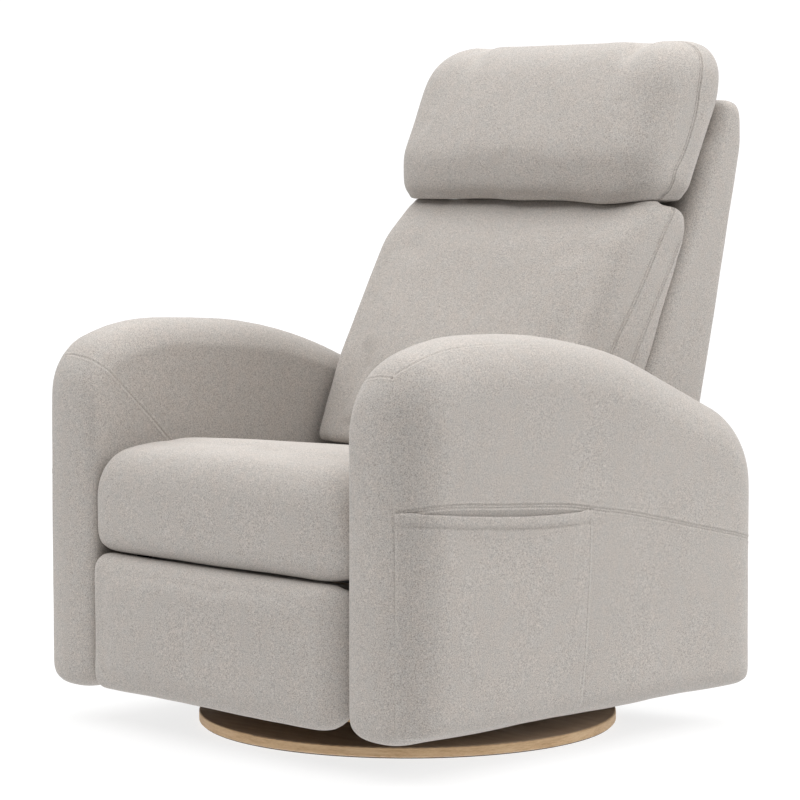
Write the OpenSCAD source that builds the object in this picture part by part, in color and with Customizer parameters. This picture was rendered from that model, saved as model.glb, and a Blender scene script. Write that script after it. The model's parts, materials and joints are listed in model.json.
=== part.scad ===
// Swivel rocker recliner on a round wooden disc, with a scissor footrest and a sliding headrest.
// The front of the chair faces -Y, +Z is up and the origin is on the floor at the swivel axis.

/* [Overall] */
// Height over the headrest
chair_h = 1045; // [945:5:1145]
// Width over both arms, without the side pocket
chair_w = 818; // [760:2:880]
// Width of one arm
arm_w = 132; // [110:1:150]
// Free gap between an arm and what moves beside it
side_gap = 3; // [2:0.5:6]

/* [Base disc] */
// Diameter of the wooden disc
disc_d = 642; // [560:2:700]
// Thickness of the wooden disc
disc_t = 15.5; // [12:0.5:24]
// Thickness of the felt under the disc
felt_t = 1.5; // [1:0.5:4]
// Width of the felt's bare rim
felt_inset = 3; // [0:1:20]
// Rounding of the disc's edges
disc_round = 2; // [1:0.5:4]

/* [Swivel bearing] */
// Share of the swivel plate's side that the circle of the balls takes
race_share = 0.815; // [0.7:0.005:0.84]
// Width of a bearing ring
race_w = 26; // [20:1:36]
// Thickness of a bearing ring
race_t = 3.4; // [2.6:0.1:5]
// Diameter of a ball
ball_d = 8; // [6:0.5:10]
// Number of balls
ball_n = 16; // [8:1:24]
// Diameter of the post that the chair turns on
post_d = 20; // [14:1:28]

/* [Rocker] */
// Height of the rocking axis over the floor
rock_h = 115; // [105:1:130]
// Share of the width between the side plates that the swivel plate takes
swivel_plate_share = 0.549; // [0.5:0.005:0.6]
// Thickness of the swivel plate
swivel_plate_t = 5; // [4:0.5:8]
// Diameter of the rocking shaft
shaft_d = 16; // [12:1:22]
// Share of the width between the side plates that lies between the ears of the cradle
cradle_share = 0.61; // [0.59:0.005:0.63]
// Share of the width between the side plates that lies between the rocker rails
rail_share = 0.797; // [0.76:0.005:0.82]
// Height of a rocker rail
rail_h = 34; // [26:1:44]
// Diameter of the spring wire
rocker_wire_d = 4.4; // [3:0.1:5]
// Mean diameter of a spring
rocker_coil_d = 34; // [26:1:44]
// Turns of a spring
rocker_turns = 5; // [4:1:6]

/* [Chassis] */
// Free gap between an arm and the inner face of a side plate
chassis_gap = 31; // [24:1:36]
// Thickness of the side plates and links
plate_t = 4; // [3:0.5:5]
// Diameter of the cross tubes
cross_tube_d = 25; // [18:1:32]
// Height of a seat rail
seat_rail_h = 34; // [24:1:44]
// Width of a seat rail
seat_rail_w = 22; // [16:1:30]
// Number of wave springs in the seat
seat_spring_n = 4; // [3:1:6]
// Diameter of a wave spring's wire
wave_wire_d = 4; // [3:0.2:5]

/* [Footrest links] */
// Width of a link
link_w = 13.5; // [12:0.5:15]
// Diameter of a pivot pin
pin_d = 7; // [5:0.5:8]
// Diameter of the drive tube
drive_tube_d = 16; // [12:1:18]
// Diameter of the bars that join the left and right links
link_bar_d = 9; // [7:0.5:10]
// Free gap between two layers of links
layer_gap = 1.5; // [1:0.1:2]
// Turn of the drive links from closed to open
footrest_turn = 90; // [80:1:90]

/* [Footrest] */
// Thickness of the footrest board
foot_board_t = 10; // [9:0.5:11]
// Rounding of the footrest pad's ends
foot_end_r = 18; // [12:1:26]

/* [Backrest] */
// Free gap between an arm and the back shell
shell_gap = 9; // [6:0.5:14]
// Wall of the back shell
shell_wall = 18; // [14:0.5:18]
// Free gap between an arm and the back cushion
back_cushion_gap = 12; // [8:0.5:20]
// Depth of the back frame's uprights
upright_d = 26; // [20:1:34]
// Width of the back frame's uprights
upright_w = 20; // [16:1:26]
// Number of wave springs in the back
back_spring_n = 3; // [2:1:4]

/* [Headrest] */
// Distance of a side of the headrest from the line of an arm
headrest_gap = 5; // [2:0.5:16]
// Diameter of the headrest's posts
head_post_d = 12; // [10:0.5:16]
// Distance between the posts, as a share of the distance between two wave springs
head_post_gap_share = 1.083; // [0.95:0.01:1.1]
// Travel of the headrest
head_travel = 90; // [60:5:100]

/* [Side pocket] */
// Thickness of the pocket's cloth
pocket_cloth_t = 2.5; // [2:0.5:4]
// Depth of the pocket at its mouth
pocket_depth = 7; // [5:0.5:12]

/* [Release] */
// Outer diameter of the release cup's flange
cup_d = 84; // [70:1:96]
// Depth of the release cup
cup_depth = 24; // [18:1:30]
// Wall of the release cup
cup_wall = 2.5; // [2:0.5:4]

/* [Fits] */
// Radial clearance of a pin that turns in its bore
run_fit = 0.05; // [0.03:0.01:0.08]
// Radial clearance of a pin that closes a ring of links
loose_fit = 0.5; // [0.3:0.1:0.8]
// Gap between soft pieces on different bodies
soft_gap = 0.5; // [0.3:0.1:1.5]
// Gap between pieces of one body that rest on each other
rest_gap = 0.3; // [0.2:0.05:0.5]

/* [Hidden] */
$fn = 48;

// One overrun serves every cut
cut = 1;
// Top of the headrest in the side outlines, whose shares all follow profile_l
height_share = 1.045;
profile_l = chair_h / height_share;

// Side outlines: y, z and corner radius, as shares of profile_l, counter-clockwise seen from +X.
// Two more values say how much of the rounding of a form's low and high end the edge after a corner takes.
arm_shares = [
    [-0.4, 0.058, 0.024, 0.3, 0.5], [0.363, 0.06, 0.026, 0.5, 1], [0.363, 0.452, 0.13],
    [0.01, 0.602, 0.8], [-0.27, 0.613, 0.3], [-0.4, 0.574, 0.095, 0.3, 1]
];
seat_shares = [
    [-0.396, 0.268, 0.03, 0.3], [-0.306, 0.27, 0.014, 0.3], [-0.288, 0.3315, 0.012, 0.1],
    [0.15, 0.3315, 0.02], [0.15, 0.39, 0.028], [0.03, 0.398, 0.12], [-0.3, 0.43, 0.25],
    [-0.396, 0.417, 0.065, 0.3]
];
back_cushion_shares = [
    [0.045, 0.41, 0.03, 0.3], [0.192, 0.41, 0.02, 0], [0.345, 0.742, 0.06, 0.4], [0.352, 0.782, 0.024],
    [0.262, 0.797, 0.036], [0.2, 0.737, 0.1], [0.094, 0.545, 0.4]
];
shell_shares = [
    [0.252, 0.338, 0.01], [0.352, 0.336, 0.02], [0.388, 0.485, 0.6], [0.48, 0.88, 0.06],
    [0.478, 0.951, 0.03], [0.44, 0.951, 0.02], [0.3546, 0.762, 0.03], [0.1925, 0.4102, 0.01]
];
shell_hollow_shares = [
    [0.152, 0.305, 0.004], [0.352, 0.303, 0.004], [0.388, 0.485, 0.6], [0.48, 0.86, 0.03],
    [0.458, 0.931, 0.01], [0.418, 0.881, 0.01], [0.295, 0.881, 0.004], [0.0935, 0.4102, 0.004]
];
pillow_shares = [
    [0.236, 0.799, 0.028], [0.36, 0.794, 0.03], [0.434, 0.95, 0.12], [0.444, 1.035, 0.07],
    [0.31, 1.035, 0.1], [0.234, 0.868, 0.07]
];
foot_pad_shares = [
    [-0.402, 0.062, 0.022], [-0.3593, 0.062, 0.012, 0], [-0.3593, 0.2665, 0.012], [-0.402, 0.2665, 0.022]
];
rear_panel_shares = [
    [0.3085, 0.072, 0.004], [0.3245, 0.072, 0.006], [0.3245, 0.278, 0.006], [0.3085, 0.278, 0.004]
];
side_plate_shares = [
    [-0.335, 0.064, 0.012], [-0.25, 0.064, 0.02], [-0.21, 0.108, 0.03], [0.19, 0.108, 0.02],
    [0.25, 0.09, 0.02], [0.304, 0.13, 0.02], [0.308, 0.325, 0.026], [0.254, 0.327, 0.02],
    [0.2, 0.215, 0.04], [-0.2, 0.215, 0.05], [-0.284, 0.272, 0.02], [-0.327, 0.272, 0.02],
    [-0.345, 0.2, 0.03]
];
arm_window_shares = [
    [-0.27, 0.2, 0.024], [0.25, 0.2, 0.024], [0.25, 0.36, 0.024], [-0.27, 0.36, 0.024]
];
pocket_shares = [
    [-0.336, 0.094, 0.02], [-0.058, 0.094, 0.02], [-0.041, 0.357, 0.006], [-0.336, 0.3775, 0.006]
];
// Places in the side view: y and z, as shares of profile_l
recline_share = [0.28, 0.3];
front_tube_share = [-0.235, 0.12];
rear_tube_share = [0.24, 0.128];
arm_bolt_shares = [[-0.17, 0.165], [0, 0.165], [0.17, 0.165]];
release_share = [-0.21, 0.46];
seat_rail_front_share = -0.283;
seat_rail_rear_share = 0.12;
spring_place_share = 0.105;
// Back frame: foot of the uprights' line and its way back and up
upright_foot_share = [0.292, 0.372];
upright_way_share = [0.117, 0.49];
// Footrest links: forward and up, as shares of profile_l
drive_pivot_share = [0.305, 0.25];
link_share = 0.175;
front_link_share = 0.153;
hanger_share = 0.028;
foot_board_shares = [0.074, 0.256];
// Side outlines of the cushions' swell, as shares of profile_l: forward and up
seat_swell_share = [0.006, 0.014];
back_swell_share = [0.022, 0];
pillow_swell_share = [0.016, 0.01];
foot_swell_share = [0.008, 0];
// Angles of the drive links and the crossing links when the footrest is closed and open
drive_angle = -95;
cross_angle = 73;
cross_open_angle = 35;
hanger_offset = 14;
hanger_angle = drive_angle + hanger_offset;
head_lean = 13;
// Facets of a rounded corner and of a rounded side, and the least rest of a corner's radius
corner_steps = 5;
side_steps = 5;
least_round = 0.15;

// Derived places and sizes
inner_w = chair_w - 2 * arm_w;
arm_x = inner_w / 2;
chassis_w = inner_w - 2 * chassis_gap;
rail_w = rail_share * chassis_w;
cradle_w = cradle_share * chassis_w;
swivel_plate_l = swivel_plate_share * chassis_w;
race_d = race_share * swivel_plate_l;
arm_edge_shares = [0.417, 0.53];
disc_top = felt_t + disc_t;
race_groove_share = 0.1;
race_gap = ball_d * (1 - 2 * race_groove_share);
upper_race_z = disc_top + race_t + race_gap;
swivel_z = upper_race_z + race_t;
swivel_top = swivel_z + swivel_plate_t;
ball_z = disc_top + race_t + race_gap / 2;
plate_x = chassis_w / 2;
first_layer_gap = 3.75;
layer_a = plate_x - first_layer_gap - plate_t;
layer_b = layer_a - layer_gap - plate_t;
layer_c = layer_b - layer_gap - plate_t;
layer_d = layer_c - layer_gap - plate_t;
seat_rail_top = seat_shares[2][1] * profile_l - wave_wire_d - soft_gap;
recline_at = recline_share * profile_l;

// The links' pivots when the footrest is closed: forward and up
link_l = link_share * profile_l;
front_l = front_link_share * profile_l;
hanger_l = hanger_share * profile_l;
p_drive = drive_pivot_share * profile_l;
p_knee = p_drive + link_l * heading(drive_angle);
p_cross = p_drive + link_l / 2 * heading(drive_angle);
p_slot = p_cross - link_l / 2 * heading(cross_angle);
p_tie = p_cross + link_l / 2 * heading(cross_angle);
p_mid = p_knee + link_l / 2 * heading(cross_angle);
p_foot = p_knee + front_l * heading(cross_angle);
p_tie_end = p_mid + hanger_l * heading(hanger_angle);
p_hang = p_foot + hanger_l * heading(hanger_angle);
slot_steps = 12;
slot_path = [for (i = [0 : slot_steps]) let (s = i / slot_steps)
    p_drive + link_l / 2 * heading(drive_angle + footrest_turn * s)
    - link_l / 2 * heading(cross_angle + (cross_open_angle - cross_angle) * s)];

function heading(a) = [cos(a), sin(a)];
function unit(v) = v / norm(v);
function left_of(v) = [-v[1], v[0]];
function spin(v, a) = [v[0] * cos(a) - v[1] * sin(a), v[0] * sin(a) + v[1] * cos(a)];
function turn_of(u, v) = atan2(u[0] * v[1] - u[1] * v[0], u * v);
function wrap(list, i) = list[(i + len(list)) % len(list)];
function yz_of(p) = [0, -p[0], p[1]];

// The share of an inset that the edge after a corner takes at the low end (0) or the high end (1)
function take(p, end) = len(p) > 3 ? p[min(3 + end, len(p) - 1)] : 1;
function xy(p) = [p[0], p[1]];
// A corner of an outline moved inward by d from both of its edges, each by its own share
function inset_corner(c, i, d, end) = let (
    u = unit(xy(c[i]) - xy(wrap(c, i - 1))),
    v = unit(xy(wrap(c, i + 1)) - xy(c[i])),
    n = left_of(u), m = left_of(v), a = d * take(wrap(c, i - 1), end), b = d * take(c[i], end),
    det = n[0] * m[1] - n[1] * m[0])
    a == b ? xy(c[i]) + a * (n + m) / (1 + n * m)
    : xy(c[i]) + [a * m[1] - b * n[1], n[0] * b - m[0] * a] / det;

// The rounded corner at b between a and c, in k steps
function corner_arc(a, b, c, r, k) = let (
    u = unit(b - a), v = unit(c - b), w = turn_of(u, v),
    t = min(r * abs(tan(w / 2)), 0.49 * norm(b - a), 0.49 * norm(c - b)),
    q = t / max(abs(tan(w / 2)), 0.0001),
    start = b - u * t, centre = start + sign(w) * left_of(u) * q)
    [for (i = [0 : k]) centre + spin(start - centre, w * i / k)];

// The points of a rounded outline inset by d
function outline(c, d, end = 0, k = corner_steps) = let (
    inner = [for (i = [0 : len(c) - 1]) inset_corner(c, i, d, end)])
    [for (i = [0 : len(c) - 1]) let (
        a = wrap(inner, i - 1), b = inner[i], e = wrap(inner, i + 1),
        w = turn_of(unit(b - a), unit(e - b)),
        grown = sign(w) * d * min(take(c[i], end), take(wrap(c, i - 1), end)),
        r = max(c[i][2] - grown, least_round * c[i][2]))
        each corner_arc(a, b, e, r, k)];
// An outline's shares in millimetres; the values after the radius stay as they are
function scaled(shares) = [for (p = shares) [for (i = [0 : len(p) - 1]) i < 3 ? p[i] * profile_l : p[i]]];

// A padded form: a side outline lofted across the chair, with ends rounded by r[0] and r[1], and a swell
module padded(corners, x_lo, x_hi, r, swell, mid_steps = 3) {
    half = (x_hi - x_lo) / 2;
    mid = (x_hi + x_lo) / 2;
    flat = 2 * half - r[0] - r[1];
    quarter = [for (i = [0 : side_steps]) let (a = 90 * i / side_steps) [sin(a), 1 - cos(a)]];
    stations = concat(
        [for (i = [side_steps : -1 : 0]) [-half + r[0] - r[0] * quarter[i][0], r[0] * quarter[i][1], 0]],
        [for (i = [1 : 1 : mid_steps]) [-half + r[0] + flat * i / (mid_steps + 1), 0, 0]],
        [for (q = quarter) [half - r[1] + r[1] * q[0], r[1] * q[1], 1]]
    );
    ys = [for (c = corners) c[0]];
    zs = [for (c = corners) c[1]];
    y_mid = (min(ys) + max(ys)) / 2;
    z_mid = (min(zs) + max(zs)) / 2;
    y_reach = (max(ys) - min(ys)) / 2;
    z_reach = (max(zs) - min(zs)) / 2;
    rings = [for (s = stations) let (b = 1 - pow(s[0] / half, 2))
        [for (p = outline(corners, s[1], s[2])) [
            mid + s[0],
            p[0] - swell[0] * b * max(0, (y_mid - p[0]) / y_reach),
            p[1] + swell[1] * b * max(0, (p[1] - z_mid) / z_reach)]]];
    n = len(rings[0]);
    m = len(rings);
    polyhedron(
        points = [for (r = rings) each r],
        faces = concat(
            [[for (i = [0 : n - 1]) i]],
            [[for (i = [0 : n - 1]) (m - 1) * n + n - 1 - i]],
            [for (j = [0 : m - 2]) for (i = [0 : n - 1]) let (k = (i + 1) % n)
                each [[j * n + i, (j + 1) * n + i, (j + 1) * n + k],
                      [j * n + i, (j + 1) * n + k, j * n + k]]]
        )
    );
}

// A flat piece cut to a side outline, from x_lo to x_hi
module sheet_cut(corners, x_lo, x_hi, inset = 0) {
    side_extrude(x_lo, x_hi) polygon(outline(corners, inset, 1));
}
module side_extrude(x_lo, x_hi) {
    translate([x_lo, 0, 0]) rotate([90, 0, 90]) linear_extrude(x_hi - x_lo) children();
}
module both_sides() {
    children();
    mirror([1, 0, 0]) children();
}
module rod(x_lo, x_hi, d) {
    translate([x_lo, 0, 0]) rotate([0, 90, 0]) cylinder(d = d, h = x_hi - x_lo);
}

// A flat link with round ends between p and q, given forward and up
module link(p, q, w, x) {
    for (e = [p, q]) translate(yz_of(e)) rod(x, x + plate_t, w);
    side_extrude(x, x + plate_t) let (n = left_of(unit(q - p)) * w / 2)
        polygon([for (e = [p + n, q + n, q - n, p - n]) [-e[0], e[1]]]);
}
module pin(p, x_lo, x_hi, d = pin_d) {
    translate(yz_of(p)) rod(x_lo, x_hi, d);
}
module bore(p, x, d = pin_d + 2 * run_fit) {
    translate(yz_of(p)) rod(x - cut, x + plate_t + cut, d);
}

// A band of width w along a path, with round ends, as points
function band(path, w) = let (
    n = len(path) - 1,
    side = [for (i = [0 : n]) left_of(unit(path[min(i + 1, n)] - path[max(i - 1, 0)]))],
    cap = 6)
    concat(
        [for (i = [0 : n]) path[i] + side[i] * w / 2],
        [for (i = [1 : cap - 1]) path[n] + spin(side[n], -180 * i / cap) * w / 2],
        [for (i = [n : -1 : 0]) path[i] - side[i] * w / 2],
        [for (i = [1 : cap - 1]) path[0] - spin(side[0], -180 * i / cap) * w / 2]
    );

// A round wire along a path that never runs straight up
function wire_rings(path, d, sides) = let (n = len(path) - 1)
    [for (i = [0 : n]) let (
        t = unit(path[min(i + 1, n)] - path[max(i - 1, 0)]),
        e = unit(cross(t, [0, 0, 1])), f = cross(e, t))
        [for (k = [0 : sides - 1]) path[i] + d / 2 * (cos(360 * k / sides) * e + sin(360 * k / sides) * f)]];
module wire(path, d, sides = 6) {
    rings = wire_rings(path, d, sides);
    m = len(rings);
    polyhedron(
        points = [for (r = rings) each r],
        faces = concat(
            [[for (i = [0 : sides - 1]) sides - 1 - i]],
            [[for (i = [0 : sides - 1]) (m - 1) * sides + i]],
            [for (j = [0 : m - 2]) for (i = [0 : sides - 1]) let (k = (i + 1) % sides)
                each [[j * sides + i, j * sides + k, (j + 1) * sides + k],
                      [j * sides + i, (j + 1) * sides + k, (j + 1) * sides + i]]]
        )
    );
}

// The path of a wave spring along +Y: n half turns that swing to both sides
wave_turn_steps = 3;
function wave(l, n, w) = let (p = l / n) [for (i = [0 : n - 1]) let (s = i % 2 == 0 ? 1 : -1)
    for (j = [0 : wave_turn_steps]) let (a = -90 + 180 * j / wave_turn_steps)
        [s * ((w - p) / 2 + p / 2 * cos(a)), (i + 0.5) * p + p / 2 * sin(a), 0]];

// Sizes of the small parts, each kept with its own piece
// Screws, post and ring of the base
screw_d = 7;
screw_head_d = 13;
screw_head_t = 4;
post_head_d = 34;
post_head_t = 6;
post_foot_d = 40;
post_foot_t = 5;
cage_t = 2;
cage_w = 15;
cage_slack = 0.15;
// Cradle, collars and spring cups of the rocker
ear_t = 6;
ear_foot_w = 110;
ear_head_r = 19;
ear_base_t = 5;
ear_base_w = 36;
collar_t = 7;
collar_d = 30;
bush_t = 2.5;
bush_flange_t = 2;
bush_flange_w = 4;
cup_floor_t = 3;
cup_rim_h = 7;
cup_rim_t = 2;
spring_bar_t = 5;
spring_bar_w = 44;
spring_bar_drop = 20;
rail_t = 6;
lobe_wall = 9;
rail_round = 2;
tube_wall = 2;
// Arm fixings
spacer_d = 20;
bolt_d = 10;
bolt_head_d = 18;
bolt_head_t = 5;
arm_board_t = 18;
arm_board_inset = 24;
// Side pocket
pocket_hem = 7.5;
pocket_mouth = 60;
// Footrest brackets
flange_w = 26;
flange_t = 3;
pin_slack = 0.7;
bar_place_share = 0.024;
bar_place = bar_place_share * profile_l;
// Back frame
recline_pin_d = 12;
bracket_head_w = 44;
bracket_reach_shares = [0.02, 0.28];
rail_bar_w = 24;
rail_bar_t = 16;
sleeve_wall = 4;
sleeve_l = 46;
head_board_t = 14;
head_board_h = 122;
head_board_w_share = 0.78;
back_edge_r = 26;
seat_edge_r = 50;
shell_edge_r = 22;
pillow_edge_r = 56;

// Base
module floor_pad() {
    color([0.2, 0.17, 0.15]) cylinder(d = disc_d - 2 * felt_inset, h = felt_t, $fn = 128);
}
module base_disc() {
    r = disc_d / 2;
    color([0.45, 0.36, 0.28]) difference() {
        translate([0, 0, felt_t]) rotate_extrude($fn = 128) union() {
            square([r - disc_round, disc_t]);
            translate([0, disc_round]) square([r, disc_t - 2 * disc_round]);
            for (z = [disc_round, disc_t - disc_round]) translate([r - disc_round, z]) circle(disc_round);
        }
        translate([0, 0, -cut]) cylinder(d = post_d, h = disc_top + 2 * cut);
        translate([0, 0, felt_t - cut]) cylinder(d = post_foot_d, h = post_foot_t + cut);
        screw_places() translate([0, 0, -cut]) cylinder(d = screw_d, h = disc_top + 2 * cut);
    }
}
module screw_places() {
    for (a = [45 : 90 : 315]) rotate([0, 0, a])
        translate([race_d / 2 + race_w / 2 + screw_head_d, 0, 0]) children();
}
module ring(d_mid, w, h) {
    difference() {
        cylinder(d = d_mid + w, h = h, $fn = 96);
        translate([0, 0, -cut]) cylinder(d = d_mid - w, h = h + 2 * cut, $fn = 96);
    }
}
module ball_groove() {
    translate([0, 0, ball_z]) rotate_extrude($fn = 96)
        translate([race_d / 2, 0]) circle(ball_d / 2 + run_fit);
}
module lower_race() {
    color([0.6, 0.6, 0.62]) difference() {
        union() {
            translate([0, 0, disc_top]) ring(race_d, race_w, race_t);
            screw_places() translate([0, 0, disc_top]) cylinder(d = 2 * screw_head_d, h = race_t);
        }
        ball_groove();
        screw_places() translate([0, 0, disc_top - cut]) cylinder(d = screw_d, h = race_t + 2 * cut);
    }
}
module bearing_balls() {
    color([0.75, 0.75, 0.78]) for (i = [0 : ball_n - 1]) rotate([0, 0, 360 * i / ball_n])
        translate([race_d / 2, 0, ball_z]) sphere(d = ball_d, $fn = 24);
}
module ball_cage() {
    color([0.8, 0.7, 0.4]) difference() {
        translate([0, 0, ball_z - cage_t / 2]) ring(race_d, cage_w, cage_t);
        for (i = [0 : ball_n - 1]) rotate([0, 0, 360 * i / ball_n])
            translate([race_d / 2, 0, ball_z - cage_t])
                cylinder(d = ball_d + 2 * cage_slack, h = 2 * cage_t, $fn = 24);
    }
}
module swivel_post() {
    top = swivel_top + soft_gap;
    color([0.5, 0.5, 0.52]) union() {
        translate([0, 0, felt_t]) cylinder(d = post_foot_d, h = post_foot_t);
        translate([0, 0, felt_t]) cylinder(d = post_d, h = top - felt_t);
        translate([0, 0, top]) cylinder(d = post_head_d, h = post_head_t, $fn = 6);
    }
}
module disc_screws() {
    color([0.7, 0.7, 0.72]) screw_places() union() {
        translate([0, 0, felt_t]) cylinder(d = screw_d, h = disc_t + race_t);
        translate([0, 0, disc_top + race_t]) cylinder(d = screw_head_d, h = screw_head_t - cut);
    }
}

// Swivel and rocker cradle
module upper_race() {
    color([0.6, 0.6, 0.62]) difference() {
        translate([0, 0, upper_race_z]) ring(race_d, race_w, race_t);
        ball_groove();
    }
}
module swivel_plate() {
    color([0.12, 0.12, 0.13]) difference() {
        translate([0, 0, swivel_z]) linear_extrude(swivel_plate_t) polygon(outline([
            for (c = [[-1, -1], [1, -1], [1, 1], [-1, 1]])
                [c[0] * swivel_plate_l / 2, c[1] * swivel_plate_l / 2, race_w]], 0));
        translate([0, 0, swivel_z - cut]) cylinder(d = post_d + 2 * run_fit, h = swivel_plate_t + 2 * cut);
    }
}
module rocker_cradle() {
    ear_x = cradle_w / 2;
    reach = swivel_plate_l / 2;
    color([0.14, 0.14, 0.15]) both_sides() difference() {
        union() {
            translate([reach - ear_base_w, -ear_foot_w / 2, swivel_top])
                cube([ear_x + ear_t - reach + ear_base_w, ear_foot_w, ear_base_t]);
            translate([0, 0, rock_h]) rod(ear_x, ear_x + ear_t, 2 * ear_head_r);
            side_extrude(ear_x, ear_x + ear_t) polygon([
                [-ear_foot_w / 2, swivel_top + ear_base_t], [ear_foot_w / 2, swivel_top + ear_base_t],
                [ear_head_r, rock_h], [-ear_head_r, rock_h]]);
        }
        translate([0, 0, rock_h]) rod(ear_x - cut, ear_x + ear_t + cut, shaft_d);
    }
}
rail_x = rail_w / 2;
collar_x = rail_x + rail_t + bush_flange_t + soft_gap;
module rocker_shaft() {
    reach = collar_x + collar_t;
    color([0.62, 0.62, 0.64]) translate([0, 0, rock_h]) rod(-reach, reach, shaft_d);
}
module shaft_collars() {
    color([0.3, 0.3, 0.32]) both_sides() difference() {
        translate([0, 0, rock_h]) rod(collar_x, collar_x + collar_t, collar_d);
        translate([0, 0, rock_h]) rod(collar_x - cut, collar_x + collar_t + cut, shaft_d);
    }
}
spring_place = spring_place_share * profile_l;
spring_foot_z = swivel_top + cup_floor_t;
spring_head_z = rock_h - spring_bar_drop - spring_bar_t;
module spring_places() {
    for (x = [-1, 1]) for (y = [-1, 1]) translate([x * spring_place, y * spring_place, 0]) children();
}
module spring_seats() {
    r = rocker_coil_d / 2 + rocker_wire_d / 2 + soft_gap + cup_rim_t;
    color([0.2, 0.2, 0.22]) spring_places() difference() {
        translate([0, 0, swivel_top]) cylinder(r = r, h = cup_rim_h);
        translate([0, 0, spring_foot_z]) cylinder(r = r - cup_rim_t, h = cup_rim_h);
    }
}
coil_steps = 8;
rocker_pitch = (spring_head_z - spring_foot_z - rocker_wire_d) / rocker_turns;
module rocker_springs() {
    n = rocker_turns * coil_steps;
    path = [for (i = [0 : n]) let (a = 360 * i / coil_steps)
        [rocker_coil_d / 2 * cos(a), rocker_coil_d / 2 * sin(a),
         spring_foot_z + rocker_wire_d / 2 + rocker_pitch * i / coil_steps]];
    color([0.55, 0.55, 0.58]) spring_places() wire(path, rocker_wire_d, 6);
}
echo(str("least gap of a rocker spring to itself: ", rocker_pitch - rocker_wire_d, " mm"));

// Chassis
front_tube = front_tube_share * profile_l;
rear_tube = rear_tube_share * profile_l;
module rocker_rails() {
    lobe_r = shaft_d / 2 + bush_t + lobe_wall;
    rail_points = [for (e = [[front_tube, -1], [rear_tube, -1], [rear_tube, 1], [front_tube, 1]])
        [e[0][0], e[0][1] + e[1] * rail_h / 2, rail_round]];
    color([0.13, 0.13, 0.14]) both_sides() difference() {
        union() {
            sheet_cut(rail_points, rail_x, rail_x + rail_t);
            translate([0, 0, rock_h]) rod(rail_x, rail_x + rail_t, 2 * lobe_r);
        }
        translate([0, 0, rock_h]) rod(rail_x - cut, rail_x + rail_t + cut, shaft_d + 2 * bush_t);
        for (e = [front_tube, rear_tube]) translate([0, e[0], e[1]])
            rod(rail_x - cut, rail_x + rail_t + cut, cross_tube_d);
    }
}
module rocker_bushes() {
    d = shaft_d + 2 * bush_t;
    color([0.75, 0.6, 0.3]) both_sides() translate([0, 0, rock_h]) difference() {
        union() {
            rod(rail_x, rail_x + rail_t, d);
            rod(rail_x + rail_t, rail_x + rail_t + bush_flange_t, d + 2 * bush_flange_w);
        }
        rod(rail_x - cut, rail_x + rail_t + bush_flange_t + cut, shaft_d + 2 * run_fit);
    }
}
module cross_tube(at) {
    color([0.15, 0.15, 0.16]) translate([0, at[0], at[1]]) difference() {
        rod(-plate_x, plate_x, cross_tube_d);
        rod(-plate_x - cut, plate_x + cut, cross_tube_d - 2 * tube_wall);
    }
}
module front_cross_tube() { cross_tube(front_tube); }
module rear_cross_tube() { cross_tube(rear_tube); }
module spring_bars() {
    color([0.16, 0.16, 0.17]) for (s = [-1, 1])
        translate([-rail_x, s * spring_place - spring_bar_w / 2, spring_head_z])
            cube([2 * rail_x, spring_bar_w, spring_bar_t]);
}
module side_plate() {
    color([0.17, 0.17, 0.18]) difference() {
        sheet_cut(scaled(side_plate_shares), plate_x, plate_x + plate_t);
        bore(p_drive, plate_x, drive_tube_d + 2 * run_fit);
        translate([0, recline_at[0], recline_at[1]])
            rod(plate_x - cut, plate_x + plate_t + cut, recline_pin_d + 2 * run_fit);
        side_extrude(plate_x - cut, plate_x + plate_t + cut)
            polygon([for (p = band(slot_path, pin_d + 2 * loose_fit)) [-p[0], p[1]]]);
        for (e = scaled(arm_bolt_shares)) translate([0, e[0], e[1]])
            rod(plate_x - cut, plate_x + plate_t + cut, bolt_d);
    }
}
module side_plate_left() { side_plate(); }
module side_plate_right() { mirror([1, 0, 0]) side_plate(); }

rail_front_y = seat_rail_front_share * profile_l;
rail_rear_y = seat_rail_rear_share * profile_l;
module seat_rail(y) {
    color([0.72, 0.6, 0.42]) translate([-plate_x, y, seat_rail_top - seat_rail_h])
        cube([2 * plate_x, seat_rail_w, seat_rail_h]);
}
module seat_rail_front() { seat_rail(rail_front_y); }
module seat_rail_rear() { seat_rail(rail_rear_y); }
module seat_side_rails() {
    y0 = rail_front_y + seat_rail_w;
    color([0.72, 0.6, 0.42]) both_sides()
        translate([plate_x - seat_rail_w, y0, seat_rail_top - seat_rail_h])
            cube([seat_rail_w, rail_rear_y - y0, seat_rail_h]);
}
wave_w = 52;
wave_n = 14;
module seat_springs() {
    l = rail_rear_y - rail_front_y + seat_rail_w;
    pitch_x = (2 * plate_x - 2 * seat_rail_w) / seat_spring_n;
    color([0.6, 0.6, 0.62]) for (i = [0 : seat_spring_n - 1])
        translate([(i + 0.5 - seat_spring_n / 2) * pitch_x, rail_front_y, seat_rail_top + wave_wire_d / 2])
            wire(wave(l, wave_n, wave_w), wave_wire_d, 5);
}
module seat_cushion() {
    half = arm_x - side_gap / 2;
    color([0.76, 0.74, 0.71])
        padded(scaled(seat_shares), -half, half, [1, 1] * seat_edge_r, seat_swell_share * profile_l);
}

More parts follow.
